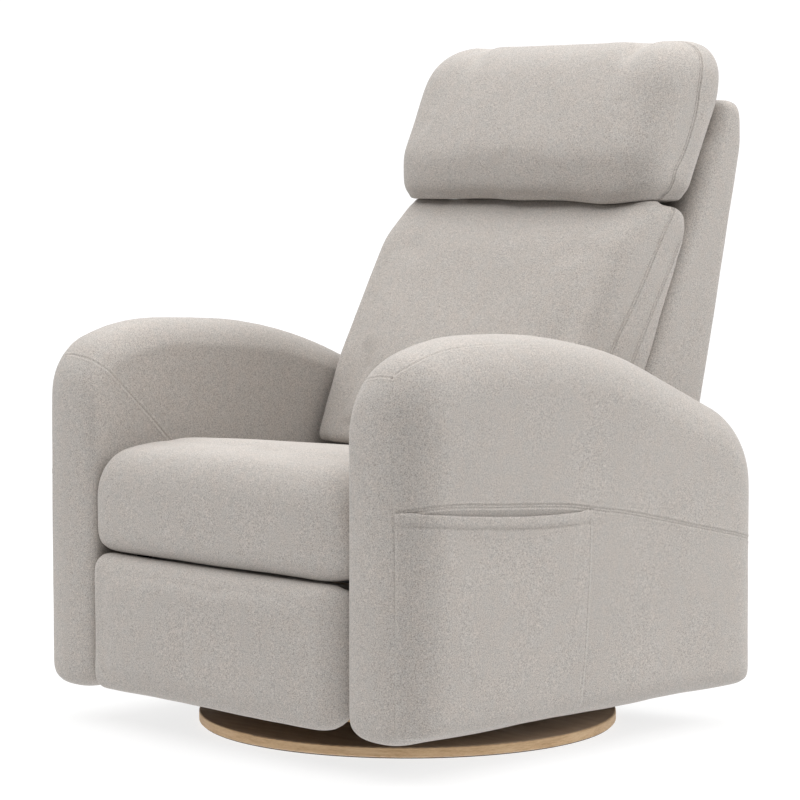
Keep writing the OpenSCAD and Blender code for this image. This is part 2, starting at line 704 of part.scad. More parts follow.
// Arms
board_x = chair_w / 2 - arm_w / 2 - arm_board_t / 2;
release_at = release_share * profile_l;
module arm_board() {
    color([0.75, 0.62, 0.45]) difference() {
        sheet_cut(scaled(arm_shares), board_x, board_x + arm_board_t, arm_board_inset);
        sheet_cut(scaled(arm_window_shares), board_x - cut, board_x + arm_board_t + cut);
        for (e = scaled(arm_bolt_shares)) translate([0, e[0], e[1]])
            rod(board_x - cut, board_x + arm_board_t + cut, bolt_d);
    }
}
module arm_board_left() { arm_board(); }
module arm_board_right() { mirror([1, 0, 0]) arm_board(); }
module arm_cover() {
    difference() {
        padded(scaled(arm_shares), arm_x, chair_w / 2, arm_edge_shares * arm_w, [0, 0], 0);
        sheet_cut(scaled(arm_shares), board_x, board_x + arm_board_t, arm_board_inset);
        for (e = scaled(arm_bolt_shares)) translate([0, e[0], e[1]]) rod(arm_x - cut, board_x, spacer_d);
    }
}
module arm_cover_left() { color([0.75, 0.73, 0.7]) arm_cover(); }
module arm_cover_right() {
    color([0.75, 0.73, 0.7]) difference() {
        mirror([1, 0, 0]) arm_cover();
        translate([0, release_at[0], release_at[1]])
            rod(-chair_w / 2 - cut, -chair_w / 2 + cup_depth, cup_d - 2 * cup_flange_w);
    }
}
module arm_bolt_places() {
    both_sides() for (e = scaled(arm_bolt_shares)) translate([0, e[0], e[1]]) children();
}
module arm_spacers() {
    color([0.5, 0.5, 0.52]) arm_bolt_places() difference() {
        rod(plate_x + plate_t, board_x, spacer_d);
        rod(plate_x + plate_t - cut, board_x + cut, bolt_d);
    }
}
module arm_bolts() {
    color([0.7, 0.7, 0.72]) arm_bolt_places() union() {
        rod(plate_x, board_x + arm_board_t, bolt_d);
        rod(plate_x - bolt_head_t, plate_x, bolt_head_d);
    }
}
module side_pocket() {
    x = chair_w / 2;
    c = scaled(pocket_shares);
    y_lo = c[3][0] + pocket_hem;
    y_hi = c[2][0] - pocket_hem;
    color([0.74, 0.72, 0.69]) difference() {
        sheet_cut(c, x, x + pocket_depth + pocket_cloth_t);
        sheet_cut(c, x - cut, x + pocket_depth, pocket_cloth_t);
        side_extrude(x - cut, x + pocket_depth) polygon([
            [y_lo, c[3][1] - pocket_mouth], [y_hi, c[2][1] - pocket_mouth],
            [y_hi, c[2][1] + pocket_mouth], [y_lo, c[3][1] + pocket_mouth]]);
    }
}
module rear_panel() {
    half = arm_x - soft_gap / 2;
    color([0.7, 0.68, 0.65]) sheet_cut(scaled(rear_panel_shares), -half, half);
}

// Release
cup_flange_w = 9;
cup_flange_t = 2;
handle_d = 9;
handle_axle_d = 4;
handle_rise_share = 0.5;
paddle_h_share = 1.1;
paddle_w_share = 0.62;
paddle_t = 4;
cup_in_r = cup_d / 2 - cup_flange_w - cup_wall;
handle_axis_z = release_at[1] + handle_rise_share * cup_in_r;
handle_axis_x = -chair_w / 2 + handle_d / 2 + cup_wall;
handle_rise = handle_rise_share * cup_in_r;
handle_reach = sqrt(pow(cup_in_r, 2) - pow(handle_rise + handle_d / 2, 2)) - soft_gap;
axle_reach = sqrt(pow(cup_in_r + cup_wall, 2) - pow(handle_rise + handle_axle_d / 2, 2)) - soft_gap;
module handle_rod(reach, d) {
    translate([handle_axis_x, release_at[0] - reach, handle_axis_z])
        rotate([-90, 0, 0]) cylinder(d = d, h = 2 * reach);
}
module release_cup() {
    x = -chair_w / 2;
    color([0.1, 0.1, 0.11]) difference() {
        translate([0, release_at[0], release_at[1]]) difference() {
            union() {
                rod(x, x + cup_depth, cup_d - 2 * cup_flange_w);
                rod(x - cup_flange_t, x, cup_d);
            }
            rod(x - cup_flange_t - cut, x + cup_depth - cup_wall, 2 * cup_in_r);
        }
        handle_rod(axle_reach + soft_gap / 2, handle_axle_d + 2 * run_fit);
    }
}
module release_handle() {
    w = paddle_w_share * cup_in_r;
    h = paddle_h_share * cup_in_r;
    color([0.13, 0.13, 0.14]) union() {
        handle_rod(handle_reach, handle_d);
        handle_rod(axle_reach, handle_axle_d);
        translate([handle_axis_x - paddle_t / 2, release_at[0] - w, handle_axis_z - h])
            cube([paddle_t, 2 * w, h]);
    }
}

// Footrest links
module drive_tube() {
    reach = plate_x + plate_t + pin_slack;
    color([0.5, 0.5, 0.52]) translate(yz_of(p_drive)) difference() {
        rod(-reach, reach, drive_tube_d);
        rod(-reach - cut, reach + cut, drive_tube_d - plate_t);
    }
}
module drive_links() {
    color([0.45, 0.45, 0.47]) both_sides() union() {
        difference() {
            union() {
                link(p_drive, p_knee, link_w, layer_a);
                translate(yz_of(p_drive)) rod(layer_a, layer_a + plate_t, drive_tube_d + plate_t);
            }
            bore(p_drive, layer_a, drive_tube_d);
        }
        for (p = [p_cross, p_knee]) pin(p, layer_b - pin_slack, layer_a + cut);
    }
}
module cross_links() {
    bar_at = p_slot + bar_place * heading(cross_angle);
    color([0.4, 0.4, 0.42]) union() {
        both_sides() union() {
            difference() {
                link(p_slot, p_tie, link_w, layer_b);
                bore(p_cross, layer_b);
            }
            pin(p_slot, layer_b + cut, plate_x + plate_t + pin_slack);
            pin(p_tie, layer_b + cut, layer_a + plate_t + pin_slack);
        }
        pin(bar_at, -layer_b - cut, layer_b + cut, link_bar_d);
    }
}
module front_links() {
    bar_at = p_knee + bar_place * heading(cross_angle);
    color([0.45, 0.45, 0.47]) union() {
        both_sides() union() {
            difference() {
                link(p_knee, p_foot, link_w, layer_b);
                bore(p_knee, layer_b);
            }
            pin(p_mid, layer_b + cut, layer_a + plate_t + pin_slack);
            pin(p_foot, layer_d - pin_slack, layer_b + cut);
        }
        pin(bar_at, -layer_b - cut, layer_b + cut, link_bar_d);
    }
}
module tie_link() {
    color([0.4, 0.4, 0.42]) union() {
        difference() {
            union() {
                link(p_tie, p_mid, link_w, layer_a);
                link(p_mid, p_tie_end, link_w, layer_a);
            }
            bore(p_tie, layer_a);
            bore(p_mid, layer_a, pin_d + 2 * loose_fit);
        }
        pin(p_tie_end, layer_c - pin_slack, layer_a + cut);
    }
}
module tie_link_left() { tie_link(); }
module tie_link_right() { mirror([1, 0, 0]) tie_link(); }
module hanger_link() {
    color([0.45, 0.45, 0.47]) difference() {
        link(p_tie_end, p_hang, link_w - cut, layer_c);
        bore(p_tie_end, layer_c);
        bore(p_hang, layer_c, pin_d + 2 * loose_fit);
    }
}
module hanger_link_left() { hanger_link(); }
module hanger_link_right() { mirror([1, 0, 0]) hanger_link(); }

// Footrest
foot_board_back = -foot_pad_shares[1][0] * profile_l - foot_board_t;
foot_board = foot_board_shares * profile_l;
module footrest_brackets() {
    hi = p_foot[1] + link_w / 2;
    lo = p_hang[1] - link_w / 2;
    color([0.35, 0.35, 0.37]) both_sides() union() {
        difference() {
            union() {
                link(p_foot, p_hang, link_w, layer_d);
                side_extrude(layer_d, layer_d + plate_t) polygon([
                    for (p = [[p_foot[0], hi], [foot_board_back, hi + link_w], [foot_board_back, lo - link_w],
                              [p_hang[0], lo]]) [-p[0], p[1]]]);
            }
            bore(p_foot, layer_d);
        }
        pin(p_hang, layer_d + cut, layer_c + plate_t + pin_slack);
        translate([layer_d - flange_w, -foot_board_back, lo - link_w])
            cube([flange_w + plate_t, flange_t, hi - lo + 2 * link_w]);
    }
}
module footrest_board() {
    half = arm_x - side_gap - foot_board_t;
    color([0.74, 0.62, 0.45]) translate([-half, -foot_board_back - foot_board_t, foot_board[0]])
        cube([2 * half, foot_board_t, foot_board[1] - foot_board[0]]);
}
module footrest_pad() {
    half = arm_x - side_gap;
    color([0.75, 0.73, 0.7])
        padded(scaled(foot_pad_shares), -half, half, [1, 1] * foot_end_r, foot_swell_share * profile_l);
}

// Backrest
// The uprights end just under the lip where the shell's hollow meets its front face
upright_foot = upright_foot_share * profile_l;
upright_lean = atan2(upright_way_share[0], upright_way_share[1]);
hollow_top = shell_hollow_shares[6][1] * profile_l - shell_wall;
shell_front = xy(shell_shares[6]) * profile_l;
shell_front_way = xy(shell_shares[5] - shell_shares[6]);
lip_y = shell_front[0] + (hollow_top - shell_front[1]) * shell_front_way[0] / shell_front_way[1];
upright_l = ([lip_y, hollow_top] - upright_foot) * unit(upright_way_share) - rest_gap;
upright_v = upright_l * unit(upright_way_share);
upright_x = plate_x - soft_gap - plate_t;
module on_uprights() {
    translate([0, upright_foot[0], upright_foot[1]]) rotate([-upright_lean, 0, 0]) children();
}
module back_uprights() {
    color([0.72, 0.6, 0.43]) both_sides() on_uprights()
        translate([upright_x - upright_w, -upright_d / 2, 0]) cube([upright_w, upright_d, upright_l]);
}
back_rail_shares = [0.1, 0.45, 0.78, 0.96];
module back_rails() {
    half = upright_x - upright_w;
    color([0.7, 0.58, 0.4]) on_uprights() for (s = back_rail_shares)
        translate([-half, -rail_bar_t / 2, s * upright_l - rail_bar_w / 2])
            cube([2 * half, rail_bar_t, rail_bar_w]);
}
back_spring_pitch = 2 * (upright_x - upright_w) / back_spring_n;
module back_springs() {
    z0 = (back_rail_shares[0] * upright_l) - rail_bar_w / 2;
    l = (back_rail_shares[2] - back_rail_shares[0]) * upright_l + rail_bar_w;
    color([0.6, 0.6, 0.62]) on_uprights() for (i = [0 : back_spring_n - 1])
        translate([(i + 0.5 - back_spring_n / 2) * back_spring_pitch, -rail_bar_t / 2 - wave_wire_d / 2, z0])
            rotate([90, 0, 0]) wire(wave(l, wave_n, wave_w), wave_wire_d, 5);
}
module back_brackets() {
    foot = recline_at;
    along = unit(upright_v);
    side = [-along[1], along[0]];
    lo = upright_foot + bracket_reach_shares[0] * upright_v;
    hi = upright_foot + bracket_reach_shares[1] * upright_v;
    w = upright_d / 2;
    color([0.2, 0.2, 0.22]) both_sides() union() {
        translate([0, foot[0], foot[1]]) rod(upright_x, upright_x + plate_t, bracket_head_w);
        side_extrude(upright_x, upright_x + plate_t) polygon([
            foot + [-bracket_head_w / 2, 0], foot + [bracket_head_w / 2, 0],
            lo - side * w, hi - side * w, hi + side * w, lo + side * w]);
        translate([0, foot[0], foot[1]])
            rod(upright_x + plate_t - cut, plate_x + plate_t + pin_slack, recline_pin_d);
    }
}
module back_shell() {
    half = arm_x - shell_gap;
    color([0.73, 0.71, 0.68]) difference() {
        padded(scaled(shell_shares), -half, half, [1, 1] * shell_edge_r, [0, 0], 1);
        side_extrude(-half + shell_wall, half - shell_wall)
            polygon(outline(scaled(shell_hollow_shares), shell_wall));
    }
}
module back_cushion() {
    half = arm_x - back_cushion_gap;
    color([0.76, 0.74, 0.71])
        padded(scaled(back_cushion_shares), -half, half, [1, 1] * back_edge_r, back_swell_share * profile_l);
}

// Headrest
head_post_foot_share = 0.64;
head_post_share = 0.236;
head_board_foot_share = [0.322, 0.832];
head_arm_share = 0.061;
// The posts pass in front of the back frame's third rail, as far off as their sleeves need
head_rail = upright_foot + back_rail_shares[2] * upright_v;
sleeve_r = head_post_d / 2 + run_fit + sleeve_wall;
head_post_off = (rail_bar_t / 2 + sleeve_r + rest_gap) / cos(upright_lean);
head_post_foot_z = head_post_foot_share * profile_l;
head_post_foot = [
    head_rail[0] - head_post_off - (head_rail[1] - head_post_foot_z) * tan(head_lean), head_post_foot_z];
head_post_l = head_post_share * profile_l;
head_board_foot = head_board_foot_share * profile_l;
head_board_lean = 18;
head_arm_t = 6;
head_arm_w = 8;
head_arm_drop = 2;
head_arm_reach = head_arm_share * profile_l;
module on_posts() {
    x = head_post_gap_share * back_spring_pitch / 2;
    for (s = [-1, 1]) translate([s * x, head_post_foot[0], head_post_foot[1]])
        rotate([-head_lean, 0, 0]) children();
}
module headrest_sleeves() {
    d = head_post_d + 2 * run_fit;
    color([0.2, 0.2, 0.22]) on_posts() translate([0, 0, head_travel]) difference() {
        cylinder(r = sleeve_r, h = sleeve_l);
        translate([0, 0, -cut]) cylinder(d = d, h = sleeve_l + 2 * cut);
    }
}
module head_post() {
    cylinder(d = head_post_d, h = head_post_l);
    translate([-head_arm_w / 2, -head_arm_reach, head_post_l - head_arm_drop - head_arm_t])
        cube([head_arm_w, head_arm_reach, head_arm_t]);
}
module headrest_posts() {
    color([0.7, 0.7, 0.72]) difference() {
        on_posts() head_post();
        headrest_board();
    }
}
module headrest_board() {
    half = head_board_w_share * (arm_x - headrest_gap);
    color([0.74, 0.62, 0.45]) translate([0, head_board_foot[0], head_board_foot[1]])
        rotate([-head_board_lean, 0, 0]) translate([-half, -head_board_t / 2, 0])
            cube([2 * half, head_board_t, head_board_h]);
}
module headrest_pillow() {
    half = arm_x - headrest_gap;
    color([0.78, 0.76, 0.73]) difference() {
        padded(scaled(pillow_shares), -half, half, [1, 1] * pillow_edge_r, pillow_swell_share * profile_l);
        headrest_board();
        on_posts() head_post();
    }
}

floor_pad();
base_disc();
lower_race();
bearing_balls();
ball_cage();
swivel_post();
disc_screws();
upper_race();
swivel_plate();
rocker_cradle();
rocker_shaft();
shaft_collars();
spring_seats();
rocker_springs();
rocker_rails();
rocker_bushes();
front_cross_tube();
rear_cross_tube();
spring_bars();
side_plate_left();
side_plate_right();
seat_rail_front();
seat_rail_rear();
seat_side_rails();
seat_springs();
seat_cushion();
arm_board_left();
arm_board_right();
arm_cover_left();
arm_cover_right();
arm_spacers();
arm_bolts();
side_pocket();
rear_panel();
release_cup();
release_handle();
drive_tube();
drive_links();
cross_links();
front_links();
tie_link_left();
tie_link_right();
hanger_link_left();
hanger_link_right();
footrest_brackets();
footrest_board();
footrest_pad();
back_brackets();
back_uprights();
back_rails();
back_springs();
back_shell();
back_cushion();
headrest_sleeves();
headrest_posts();
headrest_board();
headrest_pillow();
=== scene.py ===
import json
import math

import bmesh
import bpy
import numpy as np
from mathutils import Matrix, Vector
from mathutils.bvhtree import BVHTree
from mathutils.kdtree import KDTree


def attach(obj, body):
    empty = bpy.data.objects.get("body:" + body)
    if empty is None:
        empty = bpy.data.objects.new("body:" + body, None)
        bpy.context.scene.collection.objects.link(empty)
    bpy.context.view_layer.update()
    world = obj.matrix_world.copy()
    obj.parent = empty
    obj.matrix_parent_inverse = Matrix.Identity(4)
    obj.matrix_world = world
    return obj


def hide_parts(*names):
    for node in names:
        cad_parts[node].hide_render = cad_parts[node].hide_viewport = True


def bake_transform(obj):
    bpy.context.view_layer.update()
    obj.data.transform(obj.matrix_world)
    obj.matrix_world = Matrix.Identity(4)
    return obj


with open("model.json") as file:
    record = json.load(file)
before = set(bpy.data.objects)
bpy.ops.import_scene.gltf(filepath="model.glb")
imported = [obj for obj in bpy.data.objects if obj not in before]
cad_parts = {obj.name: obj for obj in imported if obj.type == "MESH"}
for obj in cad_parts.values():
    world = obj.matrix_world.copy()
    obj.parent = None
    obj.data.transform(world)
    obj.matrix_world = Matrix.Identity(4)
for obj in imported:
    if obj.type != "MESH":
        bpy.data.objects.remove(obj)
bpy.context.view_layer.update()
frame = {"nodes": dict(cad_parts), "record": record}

scene = bpy.context.scene

# Outlines in the side view, in metres, after the CAD model's: each corner's y, z and radius, then the
# shares of an end's inset that the edge after it takes, at the low end and at the high end
ARM = [(-.4, .058, .024, .3, .5), (.363, .057, .018, .5, 1), (.363, .452, .13), (.01, .602, .8),
       (-.27, .613, .3), (-.4, .574, .095, .3, 1)]
SEAT = [(-.396, .268, .03, .3), (-.306, .27, .014, .3), (-.288, .3315, .012, .1), (.15, .3315, .02),
        (.15, .39, .028), (.03, .398, .12), (-.3, .43, .25), (-.396, .417, .065, .3)]
BACK = [(.045, .41, .006, .1), (.192, .41, .02, 0), (.345, .742, .06, .4), (.352, .782, .024, .2, .4),
        (.262, .797, .036), (.2, .737, .1), (.094, .545, .4)]
SHELL = [(.252, .338, .01), (.352, .336, .02), (.388, .485, .6), (.48, .88, .06), (.478, .951, .03),
         (.44, .951, .02), (.3546, .762, .03), (.1925, .4102, .01)]
PILLOW = [(.236, .799, .028, .2, .8), (.36, .794, .03), (.434, .95, .12), (.444, 1.035, .07),
          (.31, 1.035, .1), (.234, .868, .07)]
FOOT = [(-.402, .062, .022), (-.3593, .062, .012, 0), (-.3593, .2665, .012, 1, .4), (-.402, .2665, .022)]
PANEL = [(.3085, .072, .004), (.3245, .072, .006), (.3245, .278, .006), (.3085, .278, .004)]
# How far each form reaches to the sides of the middle
ARM_IN, ARM_OUT = .277, .409
SEAT_HALF, BACK_HALF, PILLOW_HALF, FOOT_HALF = .2755, .265, .272, .274
SHELL_HALF, PANEL_HALF = .268, .2767

LEAST_ROUND_SHARE = .15
EDGE_SHARE = .49
MEASURE_STEPS = 8
END_STEPS = 8


def take(row, end):
    """The share of an end's inset taken by the edge after this corner; end is 0 for low, 1 for high."""
    return 1 if len(row) == 3 else row[min(3 + end, len(row) - 1)]


def inset_corner(c, i, d, end):
    """Corner i of the outline c, after the edges on its two sides have moved in by their shares of d."""
    p, q, r = (np.array(c[j % len(c)][:2]) for j in (i - 1, i, i + 1))
    u, v = (q - p) / np.linalg.norm(q - p), (r - q) / np.linalg.norm(r - q)
    n, m = np.array([-u[1], u[0]]), np.array([-v[1], v[0]])
    a, b = d * take(c[i - 1], end), d * take(c[i], end)
    det = n[0] * m[1] - n[1] * m[0]
    if abs(a - b) < 1e-9:
        return q + a * (n + m) / (1 + n @ m)
    return q + np.array([a * m[1] - b * n[1], n[0] * b - m[0] * a]) / det


def outline(c, d, counts, end=0):
    """The rounded outline c inset by d: counts gives each corner's arc steps and each edge's parts."""
    n = len(c)
    inner = [inset_corner(c, i, d, end) for i in range(n)]
    arcs = []
    for i in range(n):
        a, b, e = inner[i - 1], inner[i], inner[(i + 1) % n]
        u, v = (b - a) / np.linalg.norm(b - a), (e - b) / np.linalg.norm(e - b)
        w = math.atan2(u[0] * v[1] - u[1] * v[0], u @ v)
        shares = take(c[i - 1], end), take(c[i], end)
        r = max(c[i][2] - math.copysign(1, w) * d * min(shares), LEAST_ROUND_SHARE * c[i][2])
        t = min(r * abs(math.tan(w / 2)), EDGE_SHARE * np.linalg.norm(b - a),
                EDGE_SHARE * np.linalg.norm(e - b))
        q = t / max(abs(math.tan(w / 2)), 1e-4)
        start = b - u * t
        centre = start + math.copysign(1, w) * np.array([-u[1], u[0]]) * q
        steps = counts[i][0]
        arc = []
        for k in range(steps + 1):
            g = w * k / steps
            s = start - centre
            arc.append(centre + np.array([s[0] * math.cos(g) - s[1] * math.sin(g),
                                          s[0] * math.sin(g) + s[1] * math.cos(g)]))
        arcs.append(arc)
    points = []
    for i in range(n):
        points += arcs[i]
        a, b = arcs[i][-1], arcs[(i + 1) % n][0]
        parts = counts[i][1]
        points += [a + (b - a) * k / parts for k in range(1, parts)]
    return np.array(points)


def counts_for(c, spacing):
    """Arc steps and edge parts for an outline, from its length with no inset."""
    arcs = outline(c, 0, [(MEASURE_STEPS, 1)] * len(c)).reshape(len(c), MEASURE_STEPS + 1, 2)
    found = []
    for i in range(len(c)):
        arc = np.linalg.norm(np.diff(arcs[i], axis=0), axis=1).sum()
        edge = np.linalg.norm(arcs[(i + 1) % len(c)][0] - arcs[i][-1])
        found.append((max(4, round(arc / spacing)), max(1, round(edge / spacing))))
    return found


def loft(corners, x_lo, x_hi, r_lo, r_hi=None, swell=(0, 0), spacing=.012):
    """Points and faces of a form: its outline lofted across the chair, with rounded ends and a swell."""
    r_hi = r_lo if r_hi is None else r_hi
    half, mid = (x_hi - x_lo) / 2, (x_hi + x_lo) / 2
    angles = [i / END_STEPS * math.pi / 2 for i in range(END_STEPS + 1)]
    quarter = [(math.sin(a), 1 - math.cos(a)) for a in angles]
    flat = 2 * half - r_lo - r_hi
    n_flat = max(2, round(flat / spacing))
    stations = [(-half + r_lo - r_lo * x, r_lo * d) for x, d in reversed(quarter)]
    stations += [(-half + r_lo + flat * k / n_flat, 0) for k in range(1, n_flat)]
    stations += [(half - r_hi + r_hi * x, r_hi * d) for x, d in quarter]
    counts = counts_for(corners, spacing)
    base = outline(corners, 0, counts)
    (y0, z0), (y1, z1) = base.min(0), base.max(0)
    ym, zm, yr, zr = (y0 + y1) / 2, (z0 + z1) / 2, (y1 - y0) / 2, (z1 - z0) / 2
    rings = []
    for s, d in stations:
        p = outline(corners, d, counts, int(s > 0))
        b = 1 - (s / half) ** 2
        y = p[:, 0] - swell[0] * b * np.maximum(0, (ym - p[:, 0]) / yr)
        z = p[:, 1] + swell[1] * b * np.maximum(0, (p[:, 1] - zm) / zr)
        rings.append(np.column_stack([np.full(len(p), mid + s), y, z]))
    n, m = len(base), len(rings)
    faces = [list(range(n)), [(m - 1) * n + n - 1 - i for i in range(n)]]
    for j in range(m - 1):
        for i in range(n):
            k = (i + 1) % n
            faces.append([j * n + i, (j + 1) * n + i, (j + 1) * n + k, j * n + k])
    return np.concatenate(rings), faces


def arm_form():
    return loft(ARM, ARM_IN, ARM_OUT, r_lo=.055, r_hi=.07, spacing=.009)


def seat_form():
    return loft(SEAT, -SEAT_HALF, SEAT_HALF, r_lo=.036, r_hi=.08, swell=(.006, .012))


def back_form():
    return loft(BACK, -BACK_HALF, BACK_HALF, r_lo=.026, swell=(.022, 0))


def pillow_form():
    return loft(PILLOW, -PILLOW_HALF, PILLOW_HALF, r_lo=.052, swell=(.016, .01))


def foot_form():
    return loft(FOOT, -FOOT_HALF, FOOT_HALF, r_lo=.018, r_hi=.06, swell=(.008, 0))


def shell_form():
    return loft(SHELL, -SHELL_HALF, SHELL_HALF, r_lo=.022)


def panel_form():
    return loft(PANEL, -PANEL_HALF, PANEL_HALF, r_lo=.006)


# Meshes
RELAX_SHARE = .5
LUMP_WAVES, LUMP_GAIN = 9, 1.6
LUMP_SPREAD = (.6, 1.5)


def new_object(name, verts, faces):
    me = bpy.data.meshes.new(name)
    me.from_pydata([tuple(v) for v in verts], [], [list(f) for f in faces])
    me.update()
    obj = bpy.data.objects.new(name, me)
    scene.collection.objects.link(obj)
    return obj


def bake(obj):
    """Replaces the object's mesh by what its modifiers make of it."""
    me = bpy.data.meshes.new_from_object(obj.evaluated_get(bpy.context.evaluated_depsgraph_get()))
    obj.modifiers.clear()
    old, obj.data = obj.data, me
    bpy.data.meshes.remove(old)


def remesh(obj, size):
    mod = obj.modifiers.new("remesh", "REMESH")
    mod.mode = "VOXEL"
    mod.voxel_size = size
    bake(obj)


def subdivide(obj):
    mod = obj.modifiers.new("subdivide", "SUBSURF")
    mod.levels = mod.render_levels = 1
    bake(obj)


def coords(obj):
    co = np.zeros(len(obj.data.vertices) * 3, np.float32)
    obj.data.vertices.foreach_get("co", co)
    return co.reshape(-1, 3).astype(float)


def normals(obj):
    no = np.zeros(len(obj.data.vertices) * 3, np.float32)
    obj.data.vertex_normals.foreach_get("vector", no)
    return no.reshape(-1, 3).astype(float)


def put(obj, co):
    obj.data.vertices.foreach_set("co", co.astype(np.float32).ravel())
    obj.data.update()


def relax(obj, times, keep=None):
    """Evens a mesh out; keep from 0 to 1 for each vertex says how much of it stays."""
    n = len(obj.data.vertices)
    e = np.zeros(len(obj.data.edges) * 2, np.int64)
    obj.data.edges.foreach_get("vertices", e)
    a, b = e.reshape(-1, 2).T
    count = np.bincount(np.concatenate([a, b]), minlength=n)[:, None]
    co = coords(obj)
    share = RELAX_SHARE if keep is None else RELAX_SHARE * (1 - keep)[:, None]
    for _ in range(times):
        total = np.zeros_like(co)
        for k in range(3):
            total[:, k] = np.bincount(a, co[b, k], n) + np.bincount(b, co[a, k], n)
        co = co + share * (total / np.maximum(count, 1) - co)
    put(obj, co)


def lumps(co, size, seed):
    """A smooth deterministic unevenness from -1 to 1 with waves of about this size."""
    rng = np.random.default_rng(seed)
    total = np.zeros(len(co))
    for _ in range(LUMP_WAVES):
        way = rng.normal(size=3)
        way *= 2 * math.pi / size * rng.uniform(*LUMP_SPREAD) / np.linalg.norm(way)
        total += np.sin(co @ way + rng.uniform(0, 2 * math.pi))
    return total / LUMP_WAVES * LUMP_GAIN


def smooth_shade(obj):
    obj.data.polygons.foreach_set("use_smooth", np.ones(len(obj.data.polygons), bool))
    obj.data.update()


def mirrored(verts, faces):
    return verts * (-1, 1, 1), [f[::-1] for f in faces]


# Seams
CURVE_STEPS = 12
SEAM_STEP, COARSE_STEP = .002, .004
REFINE_REACH, REFINE_MARGIN, REFINE_TIMES = .009, .006, 2
# In widths of a groove: how far it acts, where the cloth rises beside it and how wide it rises
GROOVE_REACH, RIDGE_PLACE, RIDGE_WIDTH = 7, 3, 1.6
# A groove's width and the rise beside it, for one line and for each of two lines
SINGLE_LINE, DOUBLE_LINE = (.0011, .0004), (.001, .0003)
STITCH_LENGTH, STITCH_GAP, STITCH_R = .0034, .0018, .00034
STITCH_STEP, STITCH_LIFT, STITCH_TIP = .0006, .55, .25
LEAST_STRENGTH = .3
RECESS_SIDES = 72


def resample(path, step):
    """Evenly spaced points on a smooth curve through the given ones."""
    p = np.array(path, float)
    q = np.vstack([2 * p[0] - p[1], p, 2 * p[-1] - p[-2]])
    t = np.linspace(0, 1, CURVE_STEPS, endpoint=False)[:, None]
    dense = []
    for a, b, c, d in zip(q, q[1:], q[2:], q[3:]):
        dense.append(.5 * (2 * b + (c - a) * t + (2 * a - 5 * b + 4 * c - d) * t ** 2
                           + (3 * b - a - 3 * c + d) * t ** 3))
    p = np.vstack(dense + [p[-1:]])
    s = np.concatenate([[0], np.cumsum(np.linalg.norm(np.diff(p, axis=0), axis=1))])
    g = np.linspace(0, s[-1], max(2, round(s[-1] / step)) + 1)
    return np.column_stack([np.interp(g, s, p[:, k]) for k in range(p.shape[1])])


def skin(obj):
    me = obj.data
    return BVHTree.FromPolygons([v.co for v in me.vertices], [tuple(p.vertices) for p in me.polygons])


def lay(tree, points):
    """The nearest places on a surface and its normals there."""
    hits = [tree.find_nearest(Vector(p[:3])) for p in points]
    return np.array([h[0] for h in hits]), np.array([h[1] for h in hits])


def seam_points(obj, path, step=SEAM_STEP):
    """Points of a seam laid on the piece, each with its strength: a path's fourth value, or 1."""
    rows = [tuple(p) + (1,) * (4 - len(p)) for p in path]
    points = resample(rows, step)
    points[:, :3] = lay(skin(obj), points)[0]
    return points


def near_points(points):
    tree = KDTree(len(points))
    for i, p in enumerate(points):
        tree.insert(p[:3], i)
    tree.balance()
    return tree


def refine(obj, points):
    """Splits the faces near these points, so that a seam has vertices to shape."""
    tree = near_points(points)
    bm = bmesh.new()
    bm.from_mesh(obj.data)
    for k in range(REFINE_TIMES):
        limit = REFINE_REACH + REFINE_MARGIN * (REFINE_TIMES - 1 - k)
        faces = [f for f in bm.faces if tree.find(f.calc_center_median())[2] < limit]
        edges = list({e for f in faces for e in f.edges})
        bmesh.ops.subdivide_edges(bm, edges=edges, cuts=1, use_grid_fill=True)
    bm.to_mesh(obj.data)
    bm.free()
    far = np.array([tree.find(v.co)[2] for v in obj.data.vertices])
    relax(obj, 4, (far > REFINE_REACH).astype(float))


def groove(obj, points, depth, width, puff, apart=0):
    """Presses a seam in, or two lines apart from its middle, and lifts the cloth a little beside it."""
    tree = near_points(points)
    co, no = coords(obj), normals(obj)
    for i in range(len(co)):
        _, k, d = tree.find(co[i])
        if d < GROOVE_REACH * width:
            rise = puff * math.exp(-((d - apart - RIDGE_PLACE * width) / (RIDGE_WIDTH * width)) ** 2)
            co[i] += no[i] * points[k, 3] * (rise - depth * math.exp(-((d - apart) / width) ** 2))
    put(obj, co)


def stitch_rows(obj, points, aside=(0,)):
    """Six-sided thread stitches with narrow tips along a seam, one row for each distance aside."""
    tree = skin(obj)
    verts, faces = [], []
    ring = [(math.cos(k * math.pi / 3), math.sin(k * math.pi / 3)) for k in range(6)]
    for off in aside:
        run = resample(points, STITCH_STEP)
        at, up = lay(tree, run)
        way = np.gradient(at, axis=0)
        way /= np.linalg.norm(way, axis=1)[:, None] + 1e-12
        side = np.cross(up, way)
        at, up = lay(tree, at + side * off)
        part = round(STITCH_LENGTH / STITCH_STEP)
        for i in range(0, len(at) - part, round((STITCH_LENGTH + STITCH_GAP) / STITCH_STEP)):
            if run[i, 3] < LEAST_STRENGTH:
                continue
            base = len(verts)
            tips = ((i, STITCH_TIP), (i + part // 4, 1), (i + 3 * part // 4, 1), (i + part, STITCH_TIP))
            for j, grow in tips:
                centre = at[j] + up[j] * STITCH_R * (STITCH_LIFT * grow)
                for a, b in ring:
                    verts.append(centre + STITCH_R * grow * (a * side[j] + b * up[j]))
            for low in (base, base + 6, base + 12):
                for k in range(6):
                    m = (k + 1) % 6
                    faces.append((low + k, low + m, low + 6 + m, low + 6 + k))
            faces.append(tuple(base + 5 - k for k in range(6)))
            faces.append(tuple(base + 18 + k for k in range(6)))
    return verts, faces


